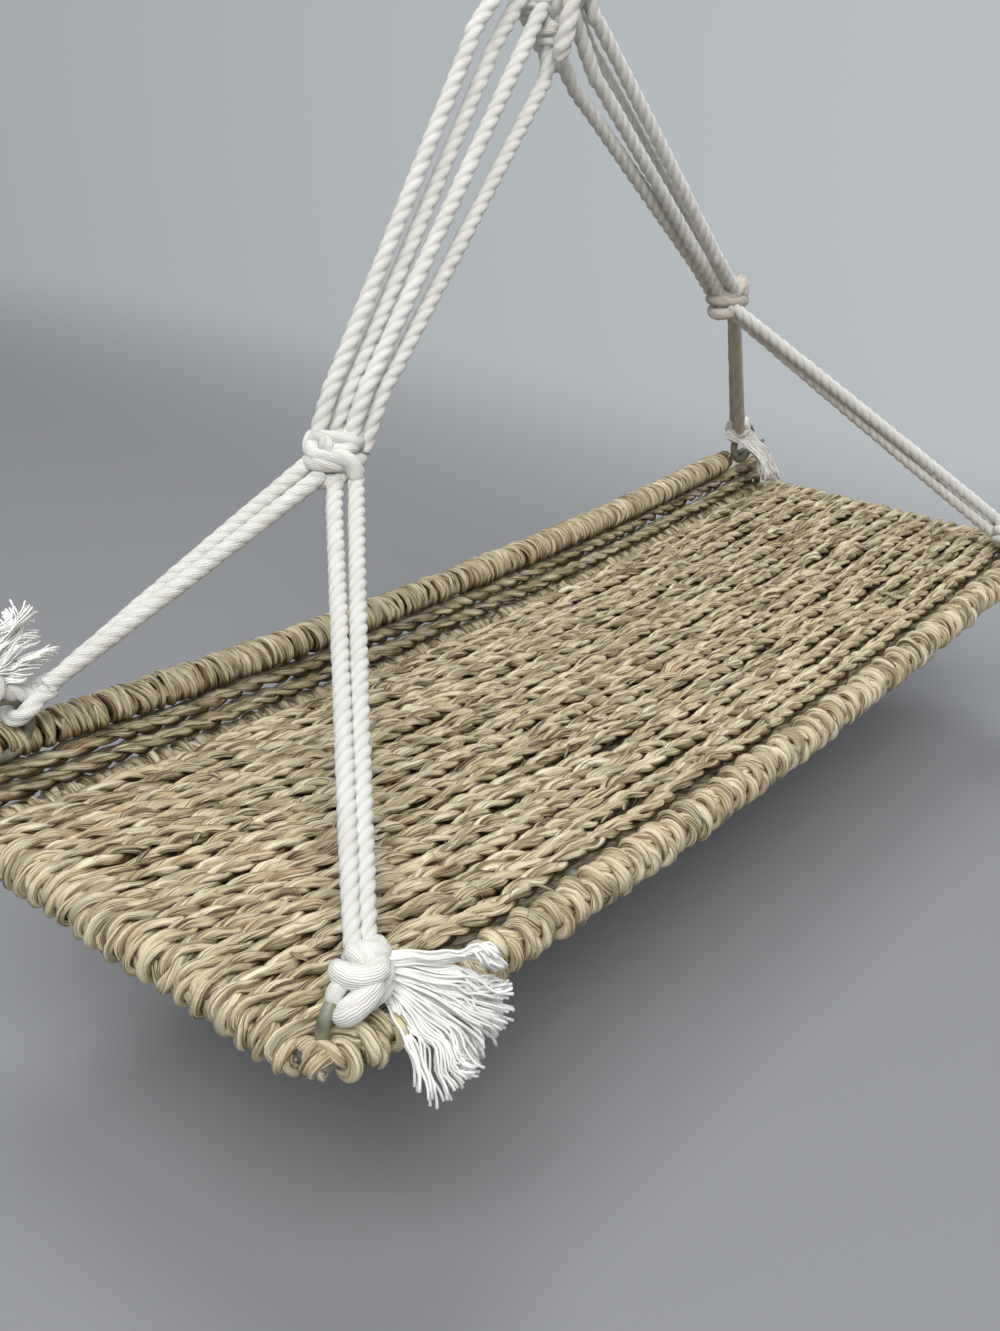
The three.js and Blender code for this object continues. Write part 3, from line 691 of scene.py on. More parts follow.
def set_lamps():
    aim = Vector((0, -0.07, -0.2))
    for name, place, size, power in LAMPS:
        light = bpy.data.lights.new(name, "AREA")
        light.shape = "DISK"
        light.size = size
        light.energy = power
        turn = (aim - Vector(place)).to_track_quat("-Z", "Y").to_matrix().to_4x4()
        add_object(name, light).matrix_world = Matrix.Translation(place) @ turn


def set_world(scene):
    finish = scene.ropeshelf_finish
    scene.world = bpy.data.worlds.new("soft sky")
    scene.world.use_nodes = True
    paint = Paint(scene.world.node_tree)
    backing = paint.fill(paint.tree.nodes["Background"], {
        "Color": (0.93, 0.96, 1.0), "Strength": 0.26,
    })
    # Painted light: the backdrop that the camera sees is darker on the left and lighter on the
    # right, as light falling unevenly on a wall behind.
    shade = paint.ramp(
        paint.parts("Generated")["X"], (0.2, finish.backdrop_dark), (0.95, finish.backdrop_light),
    )
    behind = paint.node("ShaderNodeBackground", {"Color": shade, "Strength": 1.0})
    ray = paint.node("ShaderNodeLightPath")
    mix = paint.node("ShaderNodeMixShader", {
        0: ray.outputs["Is Camera Ray"], 1: backing.outputs[0], 2: behind.outputs[0],
    })
    paint.fill(paint.tree.nodes["World Output"], {"Surface": mix.outputs[0]})


def set_floor():
    work = bmesh.new()
    bmesh.ops.create_circle(work, cap_ends=True, segments=96, radius=30.0)
    bmesh.ops.translate(work, verts=work.verts, vec=(0, 0, FLOOR_HEIGHT))
    mesh = bpy.data.meshes.new("floor")
    work.to_mesh(mesh)
    work.free()
    mesh.materials.append(material("pale floor"))
    add_object("floor", mesh)


class ROPESHELF_OT_stage(bpy.types.Operator):
    """Set the camera, the soft studio lights and the pale floor"""

    bl_idname = "ropeshelf.stage"
    bl_label = "Stage"

    def execute(self, context):
        set_camera(context.scene)
        set_lamps()
        set_world(context.scene)
        set_floor()
        context.scene.view_settings.view_transform = "Standard"
        return {"FINISHED"}


# Cords: the sling's straight runs


def paired_line(root, target, reach, turns):
    """One cord of a pair, which turns about the pair's middle on the way."""
    pull = (target - root).normalized()
    level = pull.cross(UP).normalized()
    steep = pull.cross(level)
    places = []
    for i in range(61):
        turn = radians(turns[0] + (turns[1] - turns[0]) * i / 60)
        places.append(root.lerp(target, i / 60) + arm(level, steep, turn) * reach)
    return places


def pressed(line, side):
    """The front left pair: the cords press together and lean left on the way to their knot."""
    places = []
    for i, place in enumerate(line):
        t = i / (len(line) - 1)
        share = 1 - t * t
        lean = -0.3 - 1.2 * t * min(1, 8 * (1 - t)) if side < 0 else -2.4 * share
        places.append(place + SEEN_RIGHT * lean - SEEN_NEAR * (0.9 * side * share))
    return places


def make_cord(name, line, body, node, phase, shape, seed, lay_share=1.0, shown=None, tone=0.0):
    cords = bpy.context.scene.ropeshelf_cords
    thickness, lay = cords.thickness * 1000, cords.lay * 1000 * lay_share
    path = even_steps(shown or line, CORD_STEP)
    radii, turns = [], []
    for along in distances(path):
        swell = 1 + 0.05 * wander(along, 9, seed) + 0.03 * wander(along, 2.5, seed + 5)
        slim = 0.9 + 0.1 * min(1, along / 30) if shown else 1
        radii.append(thickness / 2 * swell * slim)
        turns.append(phase + tau * along / lay + 0.35 * wander(along, 21, seed + 2))
    work = Piecework(name)
    work.sweep(shape, path, radii, turns, tone)
    work.roughen(2.2, 0.07, seed)
    piece = work.done("twisted cotton", body, node)
    route = even_steps(line, line_length(path) / 24)
    in_frame(route[0])
    line_length(route) / 1000
    [in_frame(place) for place in route]


class ROPESHELF_OT_lower_cords(bpy.types.Operator):
    """Lay the pairs of cord from the tray's corners to the gather knots"""

    bl_idname = "ropeshelf.lower_cords"
    bl_label = "Lower cords"

    def execute(self, context):
        lobed, soft = cord_outline(), cord_outline(3, 0.15)
        for number, (name, at) in enumerate(CORNERS.items()):
            root = at.knot + at.pull * 4.4
            offset = GATHER_PAIR_OFFSET * (-at.sign if at.front else at.sign)
            target = at.gather + GATHER_AXIS * offset - at.pull * 2.6
            for place, seen_side, side in (("outer", 1, -at.sign), ("inner", -1, at.sign)):
                line = paired_line(root, target, side * PAIR_SPACING / 2, PAIR_TURNS[name])
                # The back right pair's tone tints it beige as painted shade.
                make_cord(
                    f"{name}_{place}_rope", line, "tray", f"{name}_{place}_cord",
                    number * 1.3 + (0 if place == "outer" else 2.2), lobed if at.front else soft,
                    11 + number * 2 + (place == "inner"), LAY_SHARES[name],
                    pressed(line, seen_side) if name == "front_left" else None,
                    0.75 if name == "back_right" else 0.0,
                )
        put_away(lobed, soft)
        return {"FINISHED"}


class ROPESHELF_OT_upper_cords(bpy.types.Operator):
    """Lay the four cords on each side from the gather knots up to the top knot"""

    bl_idname = "ropeshelf.upper_cords"
    bl_label = "Upper cords"

    def execute(self, context):
        shape = cord_outline()
        for side, routes in UPPER_ROUTES.items():
            for number, route in enumerate(routes):
                bases = (GATHERS[side], GATHERS[side], NECK, NECK)
                start, low, high, end = (b + Vector(o) for b, o in zip(bases, route))
                stops = [low.lerp(high, share) for share in (0, 0.08, 0.5, 0.92, 1)]
                make_cord(
                    f"{side}_upper_rope_{number + 1}", smooth_line([start, *stops, end], 1.0),
                    "sling", f"{side}_upper_cord_{number + 1}", number * 1.9, shape,
                    31 + number + (4 if side == "right" else 0),
                )
        put_away(shape)
        return {"FINISHED"}


# The four bights: how far back each lies in the loop, its radius over the hook, and how far from
# the middle it enters the neck
BIGHTS = (
    ("front_inner", -2.8, 7.4, 2.8), ("back_inner", 2.8, 7.4, 2.8),
    ("front_outer", -2.8, 13.0, 8.4), ("back_outer", 2.8, 13.0, 8.4),
)


class ROPESHELF_OT_hanging_loop(bpy.types.Operator):
    """Bend the four bights of cord over the hook"""

    bl_idname = "ropeshelf.hanging_loop"
    bl_label = "Hanging loop"

    def execute(self, context):
        cords = context.scene.ropeshelf_cords
        shape = cord_outline()
        for number, (name, depth, radius, neck_x) in enumerate(BIGHTS):
            middle = HOOK + LOOP_SIDE * depth
            foot = NECK + LOOP_SIDE * depth + HANG_AXIS * 6
            right, left = foot + ACROSS * neck_x, foot - ACROSS * neck_x
            head, tail = middle + ACROSS * radius, middle - ACROSS * radius
            points = [right.lerp(head, share) for share in (0, 0.3, 0.6, 0.9)]
            points += [middle + arm(ACROSS, HANG_AXIS, pi * i / 12) * radius for i in range(13)]
            points += [tail.lerp(left, share) for share in (0.1, 0.4, 0.7, 1)]
            line = smooth_line(points, CORD_STEP)
            turns = [number + tau * along / (cords.lay * 1000) for along in distances(line)]
            work = Piecework(f"loop_bight_{name}")
            work.sweep(shape, line, cords.thickness * 500, turns, 0.0)
            work.roughen(2.2, 0.07, 50 + number)
            piece = work.done(
                "twisted cotton", None,
                f"loop_crown_{name}", f"loop_leg_left_{name}", f"loop_leg_right_{name}",
            )
            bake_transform(piece)
        put_away(shape)
        return {"FINISHED"}


# Knots


def wound_turns(middle, axis, side, turns, rise, wide, deep, steps=26, lean=0.0):
    """A few turns of cord round an axis, with its own width and depth."""
    across = (side - axis * side.dot(axis)).normalized()
    through = axis.cross(across)
    points = []
    count = int(steps * turns)
    for i in range(count + 1):
        angle = tau * turns * i / count
        height = rise * (i / count - 0.5) + lean * cos(angle)
        arms = across * wide * cos(angle) + through * deep * sin(angle)
        points.append(middle + axis * height + arms)
    return points


def about_neck(rise, angle, wide):
    return NECK + HANG_AXIS * rise + arm(ACROSS, LOOP_SIDE, angle) * wide


# The top knot: rings of cord round it, each with its rise, width and lean; the inner cords' rise
# and width on their way through it; and the cords over its outside, with their two ends and angle
TOP_RINGS = (
    (8.5, 9.0, 1.0), (4.2, 11.8, -0.8), (-0.6, 12.6, 0.6), (-5.4, 11.9, -0.9),
    (-10.0, 10.2, 0.8), (-14.6, 8.2, -0.6), (-19.0, 6.2, 0.5), (-23.2, 4.4, -0.3),
)
TOP_CORDS = ((12, 5), (6, 9), (0, 10.5), (-8, 8.8), (-16, 6), (-25, 3), (-32, 1.2))
TOP_OVERS = ((-24, 11, -1.9), (-19, 13, -1.35), (-13, 14, -0.8), (-12, 12, 0.9))
TOP_BUNDLE = ((10.4, -2, 9), (9.8, -11, 10.5), (8.2, -20, 9), (6.4, -27, 6.2), (4.2, -33, 3.5))


class ROPESHELF_OT_top_knot(bpy.types.Operator):
    """Tie the big knot where all the cords meet below the hanging loop"""

    bl_idname = "ropeshelf.top_knot"
    bl_label = "Top knot"

    def execute(self, context):
        shape = cord_outline()
        work = Piecework("top_knot_turns")
        for number, (rise, wide, lean) in enumerate(TOP_RINGS):
            middle = NECK + HANG_AXIS * rise
            deep = wide * 0.92
            turn = wound_turns(middle, HANG_AXIS, ACROSS, 1.03, 2.0, wide, deep, 30, lean * 2)
            work.rope(shape, turn, 1, 1, number * 1.1, 60 + number)
        for number in range(6):
            angle = tau * number / 6
            points = [about_neck(rise, angle + rise * 0.035, wide) for rise, wide in TOP_CORDS]
            work.rope(shape, points, 1, 1, number, 70 + number, 3)
        for number, (low, high, angle) in enumerate(TOP_OVERS):
            points = []
            for i in range(9):
                rise = low + (high - low) * i / 8
                points.append(about_neck(rise, angle - i * 0.13, 14.9 - 0.021 * (rise - 3) ** 2))
            work.rope(shape, points, 1.12, 1.1, number, 80 + number, 6)
        # The bundle's tone tints it a little beige as painted shade.
        work.rope(shape, seen(NECK, TOP_BUNDLE), 1.2, 1.1, 0.5, 88, 6, 0.15)
        work.roughen(2.2, 0.1, 90)
        work.done("twisted cotton", "sling", "top_knot")
        put_away(shape)
        return {"FINISHED"}


# The gather knots: rings of cord with their rise, width, depth, lean and phase, and the cords that
# run through them, each place with its share of x and its place back and up
GATHER_RINGS = (
    (3.6, 7.6, 5.0, 1.2, 0.0), (-0.6, 8.2, 5.6, -1.0, 1.4), (-4.2, 6.6, 4.6, 1.4, 2.5),
)
GATHER_CORDS = ((1.15, -1.5, 8.5), (1, -2.5, 3.5), (0.9, 2.0, -1), (0.9, 1.0, -6.5))

# The bands that show on the gather knots and on the front left knot, each with its share of the
# cord's thickness and its places right, up and nearer
GATHER_BANDS = {
    "left": (
        (0.98, ((-5.4, 8.2, -1), (-7.0, 4.2, 2.0), (-5.8, 0.9, 5.2), (-2.1, -0.6, 7.0),
                (2.7, -1.0, 7.2), (5.8, -3.0, 5.8), (6.8, -8.0, 3.0))),
        (0.78, ((-6.0, 5.4, 2.5), (-3.0, 5.3, 5.6), (1.2, 4.8, 6.2), (5.4, 4.2, 4.4),
                (8.0, 3.6, 1.0))),
    ),
    "right": (
        (0.95, ((-4.6, -4.6, 4.0), (-1.6, -2.2, 6.6), (2.0, 0.4, 6.8), (4.8, 3.4, 5.0),
                (5.4, 6.6, 1.0))),
        (0.95, ((-5.4, 2.0, 3.5), (-2.4, 3.8, 6.4), (1.0, 4.4, 6.4), (4.6, 2.8, 5.0),
                (6.6, -0.6, 1.5))),
    ),
}
FRONT_LEFT_BANDS = (
    (1.3, ((2.9, 2.2, 5.0), (2.2, 0.5, 7.5), (0.3, -1.9, 8.8), (-2.2, -4.1, 9.0),
           (-4.0, -5.0, 7.4), (-4.5, -3.8, 5.0))),
    (0.8, ((-2.8, 2.9, 5.5), (-4.7, 1.3, 8.0), (-6.1, -1.1, 8.6), (-5.4, -3.4, 6.5),
           (-3.5, -3.6, 5.0))),
    (1.1, ((-6.2, 5.4, 5.0), (-4.6, 3.8, 7.4), (-1.2, 3.1, 8.6), (2.8, 4.0, 7.8), (5.2, 6.2, 5.0))),
)


class ROPESHELF_OT_gather_knots(bpy.types.Operator):
    """Tie the knot on each side where the lower and upper cords meet"""

    bl_idname = "ropeshelf.gather_knots"
    bl_label = "Gather knots"

    def execute(self, context):
        shape, smooth = knot_outlines()
        for side, gather in GATHERS.items():
            # The right gather knot's tone tints it beige as painted shade.
            tone = 0.0 if side == "left" else 0.6
            work = Piecework(f"{side}_gather_turns")
            for number, (rise, wide, deep, lean, phase) in enumerate(GATHER_RINGS):
                middle = gather + UP * rise
                turn = wound_turns(middle, UP, GATHER_AXIS, 1.04, 1.6, wide, deep, 28, lean)
                work.rope(smooth, turn, 1.02, 1.6, phase, 100 + number, 4, tone)
            for number, x in enumerate((-5.4, -1.8, 1.8, 5.4)):
                points = [
                    gather + GATHER_AXIS * x * share + Vector((0, back, up))
                    for share, back, up in GATHER_CORDS
                ]
                work.rope(shape, points, 1, 1, number, 110 + number, 4, tone)
            for number, (thick, places) in enumerate(GATHER_BANDS[side]):
                band = seen(gather, places)
                work.rope(smooth, band, thick, 2, 0.4 + number, 120 + number, 4, tone)
            work.roughen(2.2, 0.1, 95)
            work.done("twisted cotton", "sling", f"{side}_gather_knot")
        put_away(shape, smooth)
        return {"FINISHED"}


# The cord over a corner knot: each place to the side, along the pull and through, off the knot
CORNER_OVER = ((-3.4, 3.4, -1.2), (-2.8, 1.8, -3.6), (-0.4, -0.4, -4.2), (1.0, -3.4, -4.0))


def tie_corner_knot(work, name, at, sideways, through, shape, smooth):
    """Tie the two turns and the cord over them, with the bands that show on the front left."""
    for number, (rise, wide, lean) in enumerate(((1.9, 3.5, 0.5), (-1.8, 3.6, -0.6))):
        middle = at.knot + at.pull * rise
        turn = wound_turns(middle, at.pull, sideways, 1.06, 1.0, wide, wide * 0.96, 26, lean)
        work.rope(smooth, turn, 1.02, 1, number * 2.0, 140 + number)
    over = [at.knot + sideways * s + at.pull * p + through * t for s, p, t in CORNER_OVER]
    over.append(at.limb + (at.centre - at.limb).normalized() * 3.6 - through * 2.4)
    work.rope(smooth, over, 1, 2, 1.0, 160)
    if name == "front_left":
        for number, (thick, places) in enumerate(FRONT_LEFT_BANDS):
            band = seen(at.limb - SEEN_RIGHT * 0.8, places)
            work.rope(smooth, band, thick, 2.4, number, 180 + number)


def tie_stop_knot(work, at, shape, smooth):
    """Tie the stopper knot a little way past the ring."""
    stop = at.limb + STOP_KNOT_WAY * STOP_KNOT_REACH
    work.rope(shape, [at.knot, at.knot.lerp(stop, 0.5), stop], 1, 1, 1.0, 165, 3)
    for number, rise in enumerate((1.5, -1.5)):
        middle = stop + STOP_KNOT_WAY * rise
        turn = wound_turns(middle, STOP_KNOT_WAY, BACK, 1.06, 0.8, 2.6, 2.5, 26, 0.4)
        work.rope(smooth, turn, 0.96, 1, number, 170 + number)


class ROPESHELF_OT_corner_knots(bpy.types.Operator):
    """Tie the knot above each eyelet, with its loop of cord through the ring"""

    bl_idname = "ropeshelf.corner_knots"
    bl_label = "Corner knots"

    def execute(self, context):
        shape, smooth = knot_outlines()
        for name, at in CORNERS.items():
            sideways = at.pull.cross(UP).normalized()
            through = at.pull.cross(sideways)
            tangent = at.outward.cross(BACK).normalized()
            reach = at.outward.cross(tangent).normalized()
            work = Piecework(f"{name}_knot_turns")
            loop = []
            for i in range(25):
                angle = tau * i / 24
                loop.append(at.limb + arm(at.outward, reach, angle) * 4.7 + tangent * sin(angle))
            work.rope(shape, loop, 1, 1, 0.3, 130, 0)
            if name == "back_left":
                tie_stop_knot(work, at, shape, smooth)
            else:
                tie_corner_knot(work, name, at, sideways, through, shape, smooth)
            for side in (-1, 1):
                points = [
                    at.knot + at.pull * 7 + sideways * side * 2.8,
                    at.knot + at.pull * 2 + sideways * side * 2.6,
                    at.limb + at.pull * 1 + sideways * side * 2.2,
                ]
                work.rope(shape, points, 1, 1, side, 150 + side, 3)
            work.roughen(2.2, 0.1, 97)
            work.done("twisted cotton", "tray", f"{name}_knot")
        put_away(shape, smooth)
        return {"FINISHED"}


# Frayed ends: the places that the yarns' tips reach, the front ones each near and far

FRONT_TIPS = (
    ((-179, -12, 11.5), (-189.5, -20, 21.5)), ((-174.8, -12, 3.5), (-185.4, -20, 14)),
    ((-173.8, -12, -4), (-184.5, -20, 7)), ((-175.4, -12, -11), (-186.2, -20, 0.2)),
    ((-179.8, -12, -17), (-190.2, -20, -5.6)), ((-186.5, -12, -21.5), (-196.6, -20, -10)),
    ((-195.4, -12, -24.6), (-204.8, -20, -12.8)), ((-208, -12, -13), (-216.8, -20, -2)),
)
BACK_LEFT_TIPS = (
    (-209.5, 138, 60), (-204.6, 138, 66), (-198.6, 138, 61.5), (-201.5, 138, 54),
    (-194.8, 138, 49.6), (-199.5, 138, 46.8), (-208, 138, 44.6),
)
BACK_RIGHT_TIPS = ((203, 126.5, 15.5), (208, 127, 13.5), (214, 128, 12), (220, 129, 11))

# How the front yarns gather: one lock above, a full fan and a few strays below. Each row gives the
# share of the yarns where the group starts and ends, and the share of the fan that it takes
FRONT_GROUPS = ((0, 0.24, 0, 0.12), (0.24, 0.94, 0.2, 0.66), (0.94, 1.0, 0.88, 0.12))
BACK_LEFT_LOCKS = 5


def between(stops, share):
    place = share * (len(stops) - 1)
    index = min(int(place), len(stops) - 2)
    return Vector(stops[index]).lerp(Vector(stops[index + 1]), place - index)


def front_share(share):
    for start, end, first, size in FRONT_GROUPS:
        if share < end:
            break
    return first + (share - start) / (end - start) * size


def jitter(chance, reach):
    return Vector([chance.uniform(-reach, reach) for axis in range(3)])


def yarn_ends(at, share, chance):
    """Where one yarn starts and where its tip lies, how it bows, and its share of the fan."""
    if at.front:
        share = front_share(share)
        near = between([pair[0] for pair in FRONT_TIPS], share)
        far = between([pair[1] for pair in FRONT_TIPS], share)
        tip = near.lerp(far, chance.uniform(0.0, 0.95))
        rest = Vector((4.8, -2.6, 0.8)).lerp(Vector((1.4, -3.4, -6.6)), share)
        bow = Vector((0.6, -1.8, 1.2))
        if at.sign > 0:
            tip.x, rest.x, bow.x = -tip.x, -rest.x, -bow.x
        return at.knot + rest, tip, bow, share
    if at.sign < 0:
        lock = int(share * BACK_LEFT_LOCKS) + 0.5 + chance.uniform(-0.36, 0.36)
        share = lock / BACK_LEFT_LOCKS
        tip = between(BACK_LEFT_TIPS, share) + Vector((0, chance.uniform(-2.5, 1.5), 0))
        root = at.limb + STOP_KNOT_WAY * (STOP_KNOT_REACH + 2.5)
        return root, tip, Vector((-1.5, 0, 1.5)), share
    tip = between(BACK_RIGHT_TIPS, share) + jitter(chance, 1.5)
    root = seen(at.knot, [(-6.0 + 7.5 * share, -3.4 + 2.8 * share, 4.0)])[0]
    return root, tip, Vector((1.5, -2.5, 2.0)), share


def yarn_line(root, tip, bow, share, number, wave_seed):
    """A yarn that bows and waves more towards its tip, in step with its neighbours."""
    points = []
    for i in range(11):
        t = i / 10
        sway = Vector([
            1.5 * noise.noise(Vector((t * 4.2, share * 7, axis * 9.0 + wave_seed)))
            + 0.5 * noise.noise(Vector((t * 3.5, number * 1.7, axis * 5.0 + 40)))
            for axis in range(3)
        ])
        points.append(root.lerp(tip, t) + bow * (4 * t * (1 - t)) + sway * (0.15 + 1.9 * t))
    return smooth_line(points, 1.9)


class ROPESHELF_OT_tassels(bpy.types.Operator):
    """Fray the cord's end at each corner knot into loose yarns"""

    bl_idname = "ropeshelf.tassels"
    bl_label = "Frayed ends"

    def execute(self, context):
        cords = context.scene.ropeshelf_cords
        shape = round_outline(5)
        for name, at in CORNERS.items():
            chance = random.Random(name)
            work = Piecework(f"{name}_yarns")
            count, thin = cords.yarns, cords.yarn * 500
            if name == "back_left":
                count, thin = round(count * 0.8), thin * 0.7
            for number in range(count):
                share = (number + chance.random()) / count
                root, tip, bow, share = yarn_ends(at, share, chance)
                root += jitter(chance, 1.3)
                tip = root + (tip - root) * chance.uniform(0.84, 1.03)
                line = yarn_line(root, tip, bow, share, number, len(name))
                radii = [thin * (1 + 0.18 * wander(i, 3, number)) for i in range(len(line))]
                radii[-1] *= 1.25
                work.sweep(shape, line, radii, 6.0)
            work.done("loose yarn", "tray", f"{name}_tassel")
        put_away(shape)
        return {"FINISHED"}


# The wire frame


def wire_lines(radius):
    """Each wire's name and line, and its thickness along the line: the long ends are rounded."""
    reach = HALF_LENGTH + radius
    xs = [reach * (i / 30 - 1) for i in range(61)]
    for name, y, rise in (
        ("front_rail_wire", 0.0, 0.0), ("back_floor_wire", FLOOR_DEPTH, 0.0),
        ("raised_rail_wire", FLOOR_DEPTH, RAIL_RISE),
    ):
        line = [Vector((x, y, rise + droop(x))) for x in xs]
        yield name, line, [0.5, 0.88] + [1.0] * (len(line) - 4) + [0.88, 0.5]
    straight = []
    back, top = FLOOR_DEPTH - 1, RAIL_RISE - 1
    for side, x in (("left", -HALF_LENGTH), ("right", HALF_LENGTH)):
        straight.append((f"{side}_end_wire", (x, 1, 0), (x, back, 0)))
        straight.append((f"{side}_back_post", (x, FLOOR_DEPTH, 1), (x, FLOOR_DEPTH, top)))
    for name, share in CROSS_WIRES:
        x = share * HALF_LENGTH
        z = droop(x) * 0.97
        straight.append((f"{name}_cross_wire", (x, 1, z), (x, back, z)))
    for name, start, end in straight:
        line = even_steps([Vector(start), Vector(end)], 8.0)
        yield name, line, [1.0] * len(line)


class ROPESHELF_OT_wires(bpy.types.Operator):
    """Bend the tray's wires and the four welded eyelets"""

    bl_idname = "ropeshelf.wires"
    bl_label = "Wire frame"

    def execute(self, context):
        radius = context.scene.ropeshelf_wire.thickness * 500
        shape = round_outline(16)
        for name, line, shares in wire_lines(radius):
            work = Piecework(f"{name}_round")
            work.sweep(shape, line, [radius * share for share in shares])
            work.done("painted wire", "tray", name)
        for name, at in CORNERS.items():
            work = Piecework(f"{name}_eyelet_ring")
            mesh = work.mesh
            bmesh.ops.create_circle(mesh, segments=16, radius=radius * 0.001)
            bmesh.ops.translate(mesh, verts=mesh.verts, vec=(EYELET_RADIUS * 0.001, 0, 0))
            bmesh.ops.spin(
                mesh, geom=mesh.verts[:] + mesh.edges[:], cent=(0, 0, 0), axis=(0, 1, 0),
                angle=tau, steps=48, use_merge=True,
            )
            bmesh.ops.translate(mesh, verts=mesh.verts, vec=in_frame(at.centre))
            bmesh.ops.recalc_face_normals(mesh, faces=mesh.faces)
            work.done("painted wire", "tray", f"{name}_eyelet")
        put_away(shape)
        return {"FINISHED"}


# Grass


def grass_rope(
    work, shapes, line, strand, throw, lay, phase, seed, plies=2, spacing=1.1, below=None,
):
    """Lay grass strands round each other along a line. Each one swells, thins and turns on itself
    unevenly."""
    line = even_steps(line, spacing)
    framed = carried(line)
    half = throw * sin(pi / plies)
    crease = throw * cos(pi / plies) + sqrt(max(strand ** 2 - half ** 2, 0.01))
    for ply in range(plies):
        places, radii, turns = [], [], []
        for place, along, (side, out) in zip(line, distances(line), framed):
            angle = phase + tau * along / lay + 1.1 * wander(along, 23, seed)
            angle += tau * ply / plies + 0.45 * wander(along, 12, seed + ply + 17)
            swell = 1 + 0.38 * wander(along, 9, seed + ply * 3 + 1)
            swell += 0.18 * wander(along, 3.2, seed + ply)
            reach = throw * (1 + 0.22 * wander(along, 12, seed + ply + 9))
            places.append(place + arm(side, out, angle) * reach)
            radii.append(strand * swell)
            turns.append(-0.16 * along - 1.5 * wander(along, 15, seed + ply + 4))
        # The core and reaches set the depth, from which the grass material paints shade in the
        # creases between strands; below also darkens their undersides.
        work.sweep(
            shapes[(seed + ply) % len(shapes)], places, radii, turns, None, line,
            (crease, 0.94 * (throw + strand)), below,
        )


def row_line(row, y, seed):
    """A row of the floor, from below the left end wire over the tray to below the right one."""
    line = []
    bend = ROW_LIFT * (0.93 + 0.12 * wander(y, 5, 7))
    shift = wander(y, 6, 8) - HALF_LENGTH
    for i in range(11):
        angle = pi * (1.5 - i / 10)
        aside = 1.2 * wander(i + 3 * row, 5, 9)
        line.append(Vector((shift + bend * cos(angle), y + aside, bend * sin(angle))))
    for i in range(1, 90):
        x = HALF_LENGTH * (i / 45 - 1)
        fade = min(1, (HALF_LENGTH - abs(x)) / 12)
        aside = 1.7 * wander(x, 34, seed) + 0.9 * wander(x, 11, seed + 1)
        rise = 1.1 * wander(x, 24, seed + 2) + 0.7 * wander(x, 9, seed + 3)
        line.append(Vector((x, y + aside * fade, ROW_LIFT + droop(x) + rise * fade)))
    for i in range(11):
        angle = pi * (0.5 - i / 10)
        line.append(Vector((HALF_LENGTH + ROW_LIFT * cos(angle), y, ROW_LIFT * sin(angle))))
    return line


def under_line(y):
    """The way back below the tray to the start of the next row."""
    line = []
    for i in range(46):
        x = HALF_LENGTH * (1 - i / 22.5)
        line.append(Vector((x, y + ROW_PITCH * i / 45, droop(x) - ROW_LIFT)))
    return line


class ROPESHELF_OT_floor(bpy.types.Operator):
    """Wind the floor: row beside row of grass round both end wires"""

    bl_idname = "ropeshelf.floor"
    bl_label = "Floor"

    def execute(self, context):
        grass = context.scene.ropeshelf_grass
        sizes = grass.strand * 1000, grass.throw * 1000, grass.lay * 1000
        fine = [blade_outline(12, seed) for seed in (1, 2, 3)]
        plain = [blade_outline(8, seed) for seed in (4, 5)]
        below = Piecework("floor_rows_below")
        for first in (0, 5, 10, 15):
            last = min(first + 5, ROW_COUNT)
            work = Piecework(f"floor_rows_{first + 1}_to_{last}")
            for row in range(first, last):
                y = ROW_START + row * ROW_PITCH
                seed = 200 + row * 6
                line = row_line(row, y, seed)
                grass_rope(work, fine, line, *sizes, row * 2.1, seed, 3, below=(0.5, 2.3))
                if row < ROW_COUNT - 1:
                    grass_rope(below, plain, under_line(y), *sizes, row * 2.7, seed + 3, 3, 2.2)
            work.roughen(3.2, 0.28, 7.0 + first)
            work.done("dried seagrass", "tray", *([] if first else ["floor_weave"]))
        below.roughen(3.2, 0.28, 5.0)
        below.done("dried seagrass", "tray")
        put_away(*fine, *plain)
        return {"FINISHED"}


def coil_line(y, rise, start, end, pitch, radius, phase=0.0, seed=0, unrest=0.0, bulge=0.07):
    """A coil round one of the long wires. With unrest its turns lean and crowd unevenly."""
    turns = (end - start) / pitch
    steps = int(turns * 22)
    line = []
    for i in range(steps + 1):
        x = start + (end - start) * i / steps
        angle = phase + tau * turns * i / steps + 0.5 * wander(x, 16, seed)
        tip = min(1, 0.8 + min(x - start, end - x) / 60)
        reach = radius * tip * (1 + bulge * wander(x, 9, seed + 2))
        aside = wander(x, 12, seed + 4) + 0.5 * wander(x, 4, seed + 5)
        aside += 1.3 * cos(angle + 2 * wander(x, 20, seed + 7)) * wander(x, 9, seed + 6)
        line.append(Vector((
            x + unrest * pitch * aside, y + reach * cos(angle),
            rise + droop(x) + reach * sin(angle),
        )))
    return line


# The two rope wraps: where each lies, its coil's pitch and radius, its strands' radius, throw and
# lay, and how far short of the wire's ends it stops
ROPE_WRAPS = (
    ("front_rail_wrap", 0.0, 7.2, 4.0, 1.85, 1.45, 16.0, 1.0, 2.0),
    ("back_floor_wrap", FLOOR_DEPTH, 7.0, 3.6, 1.7, 1.35, 17.0, 4.0, 4.0),
)

# The raised rail's wrap in layers, each with its pitch, radius and strand
RAIL_LAYERS = ((3.0, 3.4, 1.4), (4.1, 4.5, 1.3), (3.7, 4.4, 1.1))


